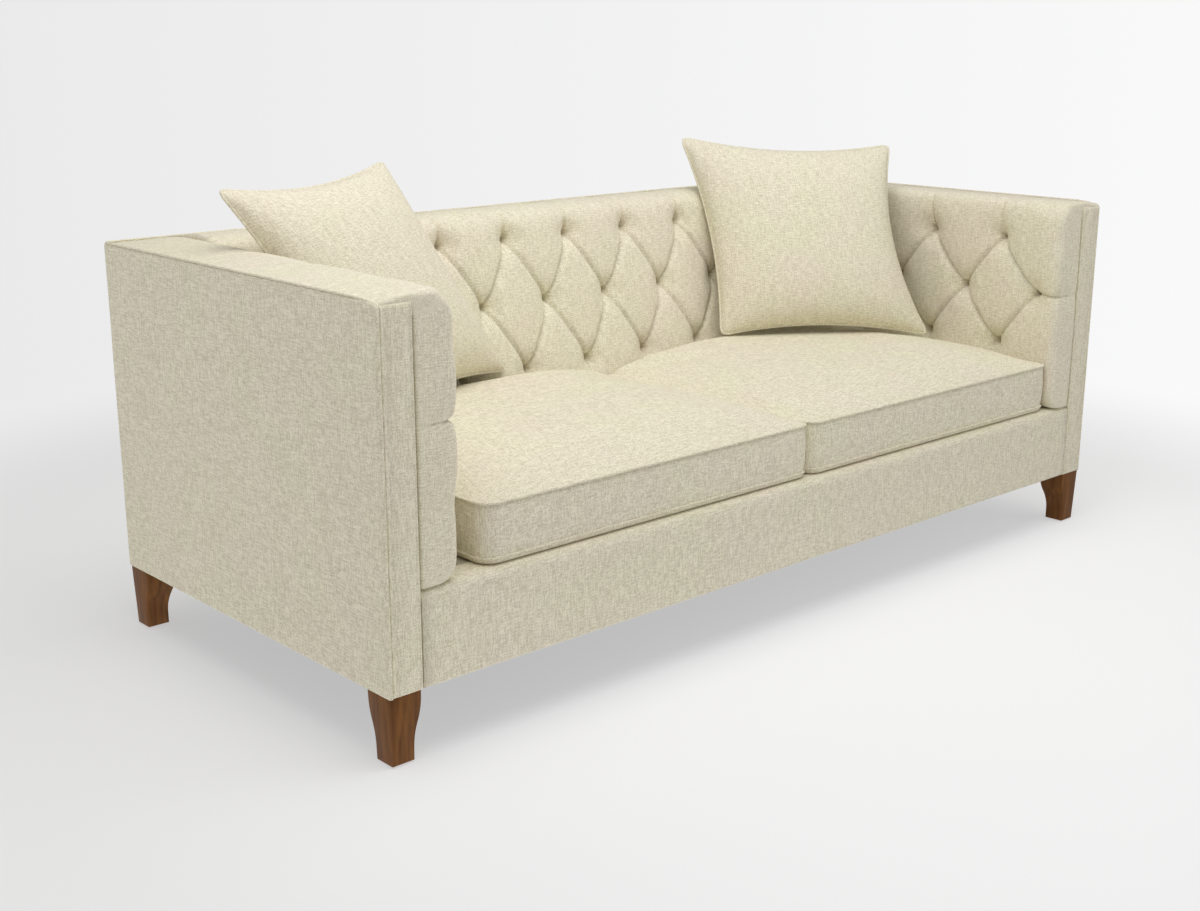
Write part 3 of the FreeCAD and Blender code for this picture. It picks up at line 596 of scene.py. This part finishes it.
# Back pad
# The same tufting on the raked back: the top row of nine buttons, ten in the middle and
# nine below, 182 mm apart. Its top rolls back over the rail to the outer seam.
back_rake = math.radians(15.5)
skin_foot = 0.1475
back_rows_z = (0.7402, 0.6002, 0.4552)
back_rows = tuple((z - platform) / math.cos(back_rake) for z in back_rows_z)
back_pitch = 0.182
back_last = 4.5 * back_pitch
back_end = 0.8925
back_seam_fade = 0.08
back_top_spread = 0.022
back_line = math.tan(back_rake)
back_path = smooth_path([(skin_foot, 0.3045), (skin_foot + 0.430 * back_line, 0.734),
                         (skin_foot + 0.462 * back_line, 0.770), (0.2895, under_welt),
                         (0.322, 0.8085), (0.372, 0.8085), (0.420, 0.800), (0.4595, under_welt)])
back_lengths = path_lengths(back_path)
back_step = back_pitch / 2 / pleat_cells
back_grid = (
    gathered(cells((-back_end, 1), (-back_last, back_step), (back_last, back_step),
                   (back_end, back_step)),
             [k * back_pitch / 2 - back_last for k in range(19)]),
    cells((0, 1), (1, 0.25)),
    row_stops(back_rows, 0, back_lengths[-1], 0.0066))


def back_pad():
    """The grid runs along the back (x), in from the skin (share) and up it (s)."""
    obj, co = block("back_pad_tufted", back_grid)
    x, share, s = co.T
    skin = np.stack([np.interp(s, back_lengths, back_path[:, k]) for k in (0, 1)], -1)
    low = np.minimum(skin[:, 1], panel_top)
    rear = np.stack([np.maximum(frame_foot + (low - platform) * back_line, skin[:, 0]), low], -1)
    inward = rear - skin
    thick = np.linalg.norm(inward, axis=1)
    inward /= thick[:, None]
    depth = tufting(x, s, back_rows, back_pitch, 0, -back_last, back_last)
    near_seam = np.clip((back_lengths[-1] - s) / back_seam_fade, 0, 1)
    inside = share * thick + depth * near_seam * np.clip(1 - share * 1.5, 0, 1)
    co = np.stack([x, skin[:, 0] + inward[:, 0] * inside, skin[:, 1] + inward[:, 1] * inside], -1)
    co[:, 1] += np.abs(wander(co, size=0.5, height=stuffing_waviness)) * (share < 0.1)
    at_end = np.abs(x) > back_end - 0.001
    co[:, 0] *= 1 + back_top_spread * np.clip((co[:, 2] - 0.775) / 0.02, 0, 1) * at_end
    reshape(obj, co)
    crease(obj, np.where(share < 0.5, depth, 0))
    lay_cloth(obj, x, s)
    return obj


dress(back_pad(), laid_linen, "frame", ["back_pad"])

# Buttons
# Small domed discs covered in the same linen, one on the floor of each pit, held by a
# twine through the pad.
button_size = 0.0072


def button_set(name, spots, outward, node):
    """One dome, copied to each spot and joined. spots are on the pad's skin."""
    bpy.ops.object.select_all(action="DESELECT")
    domes = []
    for spot in spots:
        bpy.ops.mesh.primitive_uv_sphere_add(segments=14, ring_count=8, radius=button_size)
        dome = bpy.context.object
        co = positions(dome)
        along = co @ outward
        co -= np.outer(along * 0.45, outward)
        reshape(dome, co + np.array(spot) - outward * (pit_depth - 0.0025))
        domes.append(dome)
    for dome in domes:
        dome.select_set(True)
    bpy.context.view_layer.objects.active = domes[0]
    bpy.ops.object.join()
    buttons = bpy.context.object
    buttons.name = buttons.data.name = name
    dress(buttons, cover_linen, "frame", [node])


back_outward = np.array([0, -math.cos(back_rake), math.sin(back_rake)])
back_spots = []
for row, z in enumerate(back_rows_z):
    reach = 4.5 if row == 1 else 4
    for k in range(int(2 * reach) + 1):
        back_spots.append(((k - reach) * back_pitch, skin_foot + (z - platform) * back_line, z))
button_set("back_button_domes", back_spots, back_outward, "back_buttons")
for side, sign in (("right", 1), ("left", -1)):
    arm_spots = [(sign * seat_side, arm_first + (k + (0 if row == 1 else 0.5)) * arm_pitch, z)
                 for row, z in enumerate(arm_rows) for k in range(3)]
    button_set(side + "_arm_button_domes", arm_spots, np.array([-sign, 0, 0]), side + "_arm_buttons")

# Outer covers
# Linen over thin wadding, pulled flat over each outer panel and sewn at the corners. The
# side panels turn the front corner and end at a seam 10 mm in on the front.
cover_step = 0.03
cover_waviness = 0.0006
cover_foot = 0.128
cover_top = 0.7935
cover_inside = 1.0402
rear_face = 0.465
rear_clear = 0.4551


def edge_cells(low, high, low_round, high_round):
    """Places along an edge, close together where its ends are rounded."""
    stops = [(low, 1)]
    if low_round:
        stops.append((low + low_round, low_round / 4))
    stops.append((high - high_round, cover_step))
    if high_round:
        stops.append((high, high_round / 4))
    return cells(*stops)


def panel(name, low, high, rounds, lines=()):
    """A flat padded panel. rounds are (axis, end, axis, end, radius), an end being 0 or 1.
    lines are places along X that get cells of their own, for a stitched line."""
    radii = [[0, 0], [0, 0], [0, 0]]
    for axis_a, end_a, axis_b, end_b, radius in rounds:
        radii[axis_a][end_a] = max(radii[axis_a][end_a], radius)
        radii[axis_b][end_b] = max(radii[axis_b][end_b], radius)
    grid = [edge_cells(low[k], high[k], *radii[k]) for k in range(3)]
    close = {x + shift for x in lines for shift in (-0.002, 0, 0.002)}
    grid[0] = sorted(close | {x for x in grid[0] if all(abs(x - c) > 0.001 for c in close)})
    obj, co = block(name, grid)
    for axis_a, end_a, axis_b, end_b, radius in rounds:
        a = high[axis_a] - co[:, axis_a] if end_a else co[:, axis_a] - low[axis_a]
        b = high[axis_b] - co[:, axis_b] if end_b else co[:, axis_b] - low[axis_b]
        a, b = round_edge(a, b, radius)
        co[:, axis_a] = high[axis_a] - a if end_a else low[axis_a] + a
        co[:, axis_b] = high[axis_b] - b if end_b else low[axis_b] + b
    thin = int(np.argmin([high[k] - low[k] for k in range(3)]))
    co[:, thin] += wander(co, size=0.37, height=cover_waviness)
    reshape(obj, co)
    return obj


def sew(obj, lines):
    """Draws a shallow stitched line up the front face at each of some places along X."""
    co = positions(obj)
    for line in lines:
        near = (np.abs(co[:, 0] - line) < 0.0008) & (np.abs(co[:, 1] - front_face) < 0.004)
        co[near, 1] += stitch_depth
    reshape(obj, co)


side_panel = panel("right_side_cover", (cover_inside, front_face, cover_foot),
                   (outer_side, rear_face, cover_top),
                   [(0, 1, 1, 0, 0.0068), (0, 1, 1, 1, 0.0068), (0, 1, 2, 1, 0.0045),
                    (0, 1, 2, 0, 0.004), (1, 0, 2, 1, 0.012), (0, 0, 1, 0, 0.0025)])
side_co = positions(side_panel)
to_front = np.clip(1 - (side_co[:, 1] - front_face) / 0.06, 0, 1)
to_side, to_top = round_edge(outer_side - side_co[:, 0], cover_top - side_co[:, 2],
                             0.0001 + 0.0095 * to_front)
side_co[:, 0], side_co[:, 2] = outer_side - to_side, cover_top - to_top
reshape(side_panel, side_co)
side_panels = (side_panel, mirrored(side_panel, "left_side_cover"))
for piece, node in zip(side_panels, ("right_arm_outer_cover", "left_arm_outer_cover")):
    dress(piece, cover_linen, "frame", [node])
stitches = (0.9845, 1.0330)
stitch_depth = 0.0014
facing = panel("right_front_facing", (0.9782, front_face, cover_foot), (1.0398, -0.4545, 0.7890),
               [(0, 0, 1, 0, 0.0035), (0, 1, 1, 0, 0.0025), (1, 0, 2, 0, 0.004), (1, 0, 2, 1, 0.0095)],
               lines=stitches)
sew(facing, stitches)
facings = (facing, mirrored(facing, "left_front_facing"))
for piece, node in zip(facings, ("right_arm_front_cover", "left_arm_front_cover")):
    dress(piece, cover_linen, "frame", [node])
rear = panel("back_cover", (-1.040, 0.455, cover_foot), (1.040, rear_face, cover_top),
             [(1, 1, 2, 1, 0.0045), (1, 1, 2, 0, 0.004)])
rear_co = positions(rear)
rear_co[:, 1] = np.maximum(rear_co[:, 1], rear_clear)
reshape(rear, rear_co)
dress(rear, cover_linen, "frame", ["back_outer_cover"])

# Front rail cover
# One strip of linen over wadding on the front rail. It turns over the rail's soft top edge
# and runs back under the seat cushions as a ledge.
rail_path = smooth_path([(-0.4545, 0.1285), (-0.464, 0.1285), (-0.465, 0.134), (-0.465, 0.270),
                         (-0.4648, 0.293), (-0.4550, 0.3025), (-0.438, 0.3041), (-0.4005, 0.3041)])
rail_lengths = path_lengths(rail_path)
rail_end = 0.9755
rail_face = -0.4552
rail_waviness = 0.0008


def rail_cover():
    """The grid runs along the rail (x), in from the cloth (share) and up it (s)."""
    grid = (cells((-rail_end, 1), (rail_end, 0.03)), cells((0, 1), (1, 1)),
            cells((0, 1), (rail_lengths[-1], 0.006)))
    obj, co = block("front_rail_linen", grid)
    x, share, s = co.T
    skin = np.stack([np.interp(s, rail_lengths, rail_path[:, k]) for k in (0, 1)], -1)
    rear = np.stack([np.maximum(skin[:, 0], rail_face), np.clip(skin[:, 1], 0.1285, 0.2842)], -1)
    place = skin + (rear - skin) * share[:, None]
    co = np.stack([x, place[:, 0], place[:, 1]], -1)
    co[:, 1] += wander(co, size=0.45, height=rail_waviness) * (share < 0.5) * (place[:, 1] < 0.29)
    reshape(obj, co)
    return obj


dress(rail_cover(), cover_linen, "frame", ["front_rail_cover"])

# Top welt
# A thin cord in linen, sewn along the outer top seam of both arms and the back.
welt_radius = 0.0023


def piping(name, rows, radius, closed, body, nodes):
    """A round cord in linen along each row of points."""
    curve = bpy.data.curves.new(name, "CURVE")
    curve.dimensions = "3D"
    curve.bevel_depth = radius
    curve.bevel_resolution = 2
    curve.use_fill_caps = not closed
    for row in rows:
        spline = curve.splines.new("POLY")
        spline.points.add(len(row) - 1)
        spline.points.foreach_set("co", np.c_[row, np.ones(len(row))].ravel())
        spline.use_cyclic_u = closed
    obj = bpy.data.objects.new(name, curve)
    scene.collection.objects.link(obj)
    bpy.ops.object.select_all(action="DESELECT")
    obj.select_set(True)
    bpy.context.view_layer.objects.active = obj
    bpy.ops.object.convert(target="MESH")
    dress(bpy.context.object, cover_linen, body, nodes)


def welt_path():
    """Up over the left shoulder, back along the arm, across the back, and the same on the right."""
    reach_x, reach_y, turn, z = 1.0474, 0.4622, 0.010, 0.7953
    shoulder = ((0.006, 0.003, 0.010), (0.004, 0.012, 0.005), (0.002, 0.032, 0.002))
    row = [(-reach_x + inward, front_face + behind, z - drop) for inward, behind, drop in shoulder]
    row += [(-reach_x, y, z) for y in np.linspace(front_face + 0.06, reach_y - turn, 30)]
    row += [(-reach_x + turn * (1 - math.cos(a)), reach_y - turn + turn * math.sin(a), z)
            for a in np.linspace(0, math.pi / 2, 6)[1:]]
    row += [(x, reach_y, z) for x in np.linspace(-reach_x + turn, 0, 30)[1:-1]]
    return np.array(row + [(0, reach_y, z)] + [(-x, y, z) for x, y, z in reversed(row)])


piping("outer_seam_welt", [welt_path()], welt_radius, False, "frame", ["top_welt"])

# Seat cushions
# Two foam cushions in boxed covers, crowned in the middle, with a piped seam round the top and
# the bottom of the boxing. They lie a little to the right: a gap shows at the left arm, and the
# joint between them is right of the sofa's middle.
cushion_front = -0.452
cushion_middle = -0.14
cushion_rear = 0.178
cushion_lean_reach = 0.17
cushion_furthest_back = 0.192
cushion_bottom = 0.3045
cushion_seams = (0.3165, 0.4163)
cushion_top = 0.4655
cushion_inside = 0.8927
seam_lip = 0.003
seat_piping = 0.0027
piping_proud = 0.0010
crown_share = 0.42
crown_side = 0.32
crown_edge = 0.050
crown_front = 0.26
crown_rear = 0.020
front_round_left = 0.036
front_round_right = 0.022
rear_round = 0.028
edge_levels = [0, 0.35, 1, 1.25, 1.5, 1.75, 2, 3]
edge_draw = [0.0095, 0.0040, 0.0040, 0.0020, 0.0012, 0.0020, 0.0036, 0.008]
seat_split = 0.0200
split_gap = 0.0003
left_clear = 0.8340
flare = 0.045
flare_reach = 0.30
simulated_most = 0.008


def simulate(obj, seam, pressure, frames, bending):
    """Swells a closed cover under pressure, with its seam held and no point moved far."""
    rest = positions(obj)
    group = obj.vertex_groups.new(name="seam")
    group.add([int(i) for i in np.flatnonzero(seam)], 1.0, "REPLACE")
    cloth = obj.modifiers.new("cloth", "CLOTH")
    cloth.settings.quality = 5
    cloth.settings.mass = 0.3
    cloth.settings.tension_stiffness = 15
    cloth.settings.compression_stiffness = 15
    cloth.settings.shear_stiffness = 5
    cloth.settings.bending_stiffness = bending
    cloth.settings.use_pressure = True
    cloth.settings.uniform_pressure_force = pressure
    cloth.settings.effector_weights.gravity = 0
    cloth.collision_settings.use_collision = False
    cloth.settings.vertex_group_mass = "seam"
    cloth.point_cache.frame_start = 1
    cloth.point_cache.frame_end = frames
    for step in range(1, frames + 1):
        scene.frame_set(step)
    moved = positions(obj.evaluated_get(bpy.context.evaluated_depsgraph_get())) - rest
    length = np.maximum(np.linalg.norm(moved, axis=1), 1e-9)
    obj.modifiers.remove(cloth)
    scene.frame_set(1)
    reshape(obj, rest + moved * np.minimum(1, simulated_most / length)[:, None])


def ring_of(obj, co, levels, at):
    """The row of vertices that are at one level of the grid, in order round it."""
    mesh = bmesh.new()
    mesh.from_mesh(obj.data)
    mesh.verts.ensure_lookup_table()
    level = np.abs(levels - at) < 1e-6
    start = int(np.flatnonzero(level)[0])
    row, here, last = [start], mesh.verts[start], None
    while True:
        ahead = [e.other_vert(here) for e in here.link_edges
                 if level[e.other_vert(here).index] and e.other_vert(here) is not last]
        step = ahead[0]
        if step.index == start:
            break
        row.append(step.index)
        here, last = step, here
    mesh.free()
    return co[row]


def seat_cushion(side, left, right, spread, furthest_left):
    """spread is how far the left side runs out towards the back. The grid's levels are 0 for
    the bottom, 1 and 2 for the two seams and 3 for the top."""
    grid = (cells((left, 1), (left + 0.04, 0.007), (right - 0.03, 0.014), (right, 0.006)),
            cells((cushion_front, 1), (cushion_front + 0.04, 0.007), (0.145, 0.014),
                  (cushion_rear, 0.008)),
            cells((0, 1), (1, 0.35), (2, 0.125), (3, 0.35)))
    obj, co = block("seat_cushion_%s_padded" % side, grid)
    x, y, level = co.T.copy()
    ex, ey = np.minimum(x - left, right - x), np.minimum(y - cushion_front, cushion_rear - y)
    at_front = y < cushion_middle
    front_round = np.where(x < (left + right) / 2, front_round_left, front_round_right)
    rx, ry = round_edge(ex, ey, np.where(at_front, front_round, rear_round))
    x = np.where(x < (left + right) / 2, left + rx, right - rx)
    y = np.where(at_front, cushion_front + ry, cushion_rear - ry)
    from_side = 1 - np.clip(ex / crown_side, 0, 1)
    from_front = 1 - np.clip((y - cushion_front) / crown_front, 0, 1)
    from_rear = 1 - np.clip((cushion_rear - y) / crown_rear, 0, 1)
    from_edge = 1 - np.clip(ex / crown_edge, 0, 1)
    crown = crown_share * (1 - from_edge ** 2) + (1 - crown_share) * (1 - from_side ** 2)
    crown *= (1 - from_front ** 2.2) * (1 - 0.3 * from_rear ** 2)
    lower_seam, upper_seam = cushion_seams
    z = np.interp(level, [0, 1, 2, 3], [cushion_bottom, lower_seam, upper_seam, upper_seam])
    z = np.where(level > 2, upper_seam + seam_lip * (level - 2), z)
    lip = upper_seam + seam_lip
    z = np.where(level > 2.999, lip + (cushion_top - lip) * crown, z)
    draw = np.interp(level, edge_levels, edge_draw)
    middle = ((left + right) / 2, (cushion_front + cushion_rear) / 2)
    half = ((right - left) / 2, (cushion_rear - cushion_front) / 2)
    inset_x = np.clip(np.abs(x - middle[0]) / half[0], 0, 1) ** 6
    inset_y = np.clip(np.abs(y - middle[1]) / half[1], 0, 1) ** 6
    x = x - np.sign(x - middle[0]) * draw * inset_x
    y = y - np.sign(y - middle[1]) * draw * inset_y
    below_seam = np.minimum(z, upper_seam) - upper_seam
    y = np.where(y > 0, y + below_seam * back_line * np.clip(y / cushion_lean_reach, 0, 1), y)
    to_rear = np.clip((y + flare_reach) / flare_reach, 0, 1)
    x = x - spread * np.clip((right - x) / (right - left), 0, 1) ** 2 * to_rear ** 2 * (3 - 2 * to_rear)
    reshape(obj, np.stack([x, y, z], -1))
    seams = np.min([np.abs(level - at) for at in (0, 1, 2)], axis=0) < 1e-6
    simulate(obj, seams, pressure=1.6, frames=16, bending=0.5)
    low = (furthest_left, cushion_front, cushion_bottom)
    high = (right, cushion_furthest_back, cushion_top + seam_lip)
    done = np.clip(positions(obj), low, high)
    reshape(obj, done)
    body = "seat_cushion_" + side
    cords = []
    for at in (1, 2):
        row = ring_of(obj, done, level, at)
        out = (row - row.mean(0)) * (1, 1, 0)
        cords.append(row + out / np.linalg.norm(out, axis=1)[:, None] * piping_proud)
    dress(obj, cover_linen, body, [body + "_cover", body + "_foam"])
    piping("seat_piping_" + side, cords, seat_piping, True, body, [body + "_piping"])


seat_cushion("left", -left_clear, seat_split - split_gap, spread=flare, furthest_left=-cushion_inside)
seat_cushion("right", seat_split + split_gap, cushion_inside, spread=0,
             furthest_left=seat_split + split_gap)

# Scatter cushions
# Two square linen panels sewn edge to edge with a piped seam, stuffed with soft fibre. The
# filling draws the sides in and leaves the corners pointed. They lean in the corners.
scatter_places = {
    "left": dict(middle=(-0.6134, 0.1610, 0.6879), turn=19.48, lean=23.61, roll=1.42, slump=-0.30),
    "right": dict(middle=(0.6252, 0.0859, 0.6837), turn=-35.08, lean=25.0, roll=-1.78, slump=-0.15),
}
scatter_corners = {
    "left": {(-1, -1): (0, 0.006), (1, -1): (0, 0.003),
             (-1, 1): (-0.008, 0.008), (1, 1): (0.006, 0.010)},
    "right": {(-1, -1): (-0.010, 0.009), (1, -1): (0.003, 0.014),
              (-1, 1): (-0.018, 0.018), (1, 1): (0.006, 0.009)},
}
scatter_round = 0.022
scatter_half = (0.256, 0.250)
scatter_draw_in = {(0, 1): 0.043, (0, -1): 0.028, (1, 1): 0.028, (1, -1): 0.028}
scatter_puff = (0.036, 0.072)
scatter_seam = 0.0018
scatter_piping = 0.0031
scatter_tension = 0.05


def scatter_cushion(side, middle, turn, lean, roll, slump):
    """turn, lean and roll are in degrees. slump shears the square as it sags."""
    ends = cells((-1, 1), (-0.9, 0.028), (0.9, 0.038), (1, 0.028))
    body = "scatter_cushion_" + side
    obj, co = block(body + "_padded", (ends, ends, (-1, 1)))
    u, v, face = co.T
    draw_x = np.where(u > 0, scatter_draw_in[0, 1], scatter_draw_in[0, -1])
    draw_y = np.where(v > 0, scatter_draw_in[1, 1], scatter_draw_in[1, -1])
    in_x, in_y = round_edge((1 - np.abs(u)) * scatter_half[0], (1 - np.abs(v)) * scatter_half[1],
                            scatter_round)
    x = np.sign(u) * (scatter_half[0] - in_x - draw_x * np.abs(u) ** 3 * (1 - v ** 2))
    y = np.sign(v) * (scatter_half[1] - in_y - draw_y * np.abs(v) ** 3 * (1 - u ** 2))
    for (end_u, end_v), (shift_x, shift_y) in scatter_corners[side].items():
        share = (1 + end_u * u) * (1 + end_v * v) / 4
        x, y = x + share * shift_x, y + share * shift_y
    height = ((1 - np.abs(u) ** 3) * (1 - np.abs(v) ** 3)) ** 0.55
    puff = np.where(face > 0, scatter_puff[1], scatter_puff[0])
    tension = 1 - scatter_tension * (u * v) ** 2 * np.cos(14 * (np.abs(u) - np.abs(v)))
    reshape(obj, np.stack([x, y, face * (scatter_seam + (puff - scatter_seam) * height * tension)], -1))
    edge = np.maximum(np.abs(u), np.abs(v)) > 0.999
    simulate(obj, edge, pressure=1.2, frames=14, bending=0.2)
    done = positions(obj)
    t, l, r = (math.radians(a) for a in (turn, lean, roll))
    level = np.array([math.cos(t), math.sin(t), 0])
    behind = np.array([-math.sin(t), math.cos(t), 0])
    upright = behind * math.sin(l) + np.array([0, 0, math.cos(l)])
    across = level * math.cos(r) + upright * math.sin(r)
    up = upright * math.cos(r) - level * math.sin(r) + across * slump
    out = behind * -math.cos(l) + np.array([0, 0, math.sin(l)])
    placed = np.array(middle) + done[:, :1] * across + done[:, 1:2] * up + done[:, 2:] * out
    rim = np.flatnonzero(edge & (face > 0))
    angle = np.arctan2(v[rim], u[rim])
    row = placed[rim[np.argsort(angle)]] - out * scatter_seam
    reshape(obj, placed)
    lay_cloth(obj, u * scatter_half[0], v * scatter_half[1])
    dress(obj, laid_linen, body, [body + "_cover", body + "_filling"])
    piping("scatter_piping_" + side, [row], scatter_piping, True, body, [body + "_piping"])


for side, lie in scatter_places.items():
    scatter_cushion(side, **lie)

# Legs
# Solid beech, stained walnut brown, cut from one block each: the two outer faces are
# straight and the two inner faces run in an ogee. A hanger bolt holds each to its post.
arris_width = 0.0014


def wood(name, light, dark, roughness, rings):
    """rings is how fast the grain changes along X, Y and Z."""
    finish, nodes, links, shader = material(name, light, roughness)
    shader.inputs["Specular IOR Level"].default_value = 0.2
    place = nodes.new("ShaderNodeTexCoord")
    turn = nodes.new("ShaderNodeMapping")
    turn.inputs["Scale"].default_value = rings
    links.new(place.outputs["Object"], turn.inputs["Vector"])
    grain = noise(nodes, links, turn.outputs["Vector"], size=1, detail=6)
    grain.inputs["Distortion"].default_value = 0.6
    tone = colour_ramp(nodes, links, grain.outputs["Fac"], (0.36, dark), (0.66, light))
    links.new(tone.outputs["Color"], shader.inputs["Base Color"])
    relief = nodes.new("ShaderNodeBump")
    relief.inputs["Strength"].default_value = 0.2
    relief.inputs["Distance"].default_value = 0.0006
    links.new(grain.outputs["Fac"], relief.inputs["Height"])
    links.new(relief.outputs["Normal"], shader.inputs["Normal"])
    return finish


walnut = wood("walnut_stain", (0.214, 0.084, 0.016, 1), (0.114, 0.040, 0.007, 1),
              roughness=0.55, rings=(90, 90, 9))


def softened_leg(place):
    """The leg's own outline with its arrises taken off."""
    node = "leg_" + place
    leg = frame["nodes"][node].copy()
    leg.data = leg.data.copy()
    for key in list(leg.keys()):
        del leg[key]
    leg.parent = None
    leg.name = leg.data.name = node + "_turned"
    scene.collection.objects.link(leg)
    bpy.ops.object.select_all(action="DESELECT")
    leg.select_set(True)
    bpy.context.view_layer.objects.active = leg
    bpy.ops.object.mode_set(mode="EDIT")
    bpy.ops.mesh.select_all(action="SELECT")
    bpy.ops.mesh.remove_doubles(threshold=0.00002)
    bpy.ops.object.mode_set(mode="OBJECT")
    bevel = leg.modifiers.new("arris", "BEVEL")
    bevel.width = arris_width
    bevel.segments = 2
    bevel.limit_method = "ANGLE"
    bevel.angle_limit = math.radians(50)
    bpy.ops.object.modifier_apply(modifier=bevel.name)
    dress(leg, walnut, "frame", [node])
    leg.select_set(True)
    bpy.context.view_layer.objects.active = leg
    bpy.ops.object.shade_smooth_by_angle(angle=math.radians(35))
    bpy.ops.object.select_all(action="DESELECT")


for place in ("front_left", "front_right", "rear_left", "rear_right"):
    softened_leg(place)

# Inner frame, springs and fittings
# Softwood rails and posts with hardboard outside, elastic straps behind the pads, zigzag
# springs in plastic clips, steel plates and bolts. None of it shows on the finished sofa.
bare = {
    "frame_timber": wood("softwood", (0.62, 0.45, 0.27, 1), (0.48, 0.32, 0.17, 1),
                         roughness=0.7, rings=(30, 30, 30)),
    "thin_board": wood("hardboard", (0.42, 0.30, 0.18, 1), (0.34, 0.23, 0.13, 1),
                       roughness=0.8, rings=(200, 200, 200)),
    "webbing": linen("elastic_webbing", (0.16, 0.14, 0.12, 1), (0.07, 0.06, 0.05, 1)),
    "foam": linen("cut_foam", (0.82, 0.76, 0.55, 1), (0.70, 0.63, 0.43, 1),
                  streak=(300.0, 300.0)),
    "filling": linen("fibre_filling", (0.86, 0.85, 0.82, 1), (0.74, 0.73, 0.70, 1),
                     streak=(90.0, 200.0)),
    "felt": linen("deck_felt", (0.50, 0.46, 0.38, 1), (0.32, 0.29, 0.23, 1),
                  streak=(120.0, 260.0)),
    "dust_cloth": linen("black_dust_cloth", (0.035, 0.035, 0.038, 1), (0.015, 0.015, 0.017, 1)),
}


def fitting(name, light, dark, roughness, metallic):
    """Steel or moulded plastic, a little scuffed."""
    finish, nodes, links, shader = material(name, light, roughness)
    shader.inputs["Metallic"].default_value = metallic
    place = nodes.new("ShaderNodeTexCoord")
    scuff = noise(nodes, links, place.outputs["Object"], size=240, detail=4)
    tone = nodes.new("ShaderNodeMixRGB")
    tone.inputs["Color1"].default_value = light
    tone.inputs["Color2"].default_value = dark
    links.new(scuff.outputs["Fac"], tone.inputs["Fac"])
    links.new(tone.outputs["Color"], shader.inputs["Base Color"])
    return finish


bare["spring_steel"] = fitting("spring_wire", (0.42, 0.42, 0.43, 1), (0.25, 0.25, 0.26, 1),
                               roughness=0.4, metallic=1.0)
bare["clip_plastic"] = fitting("black_nylon", (0.03, 0.03, 0.03, 1), (0.05, 0.05, 0.05, 1),
                               roughness=0.55, metallic=0.0)
bare["linen"] = cover_linen
bare["leg_wood"] = walnut
slots = {part["node"]: part["material_slot"] for part in frame["record"]["subparts"]}
for name, node in frame["nodes"].items():
    node.data.materials.clear()
    node.data.materials.append(bare[slots[name]])
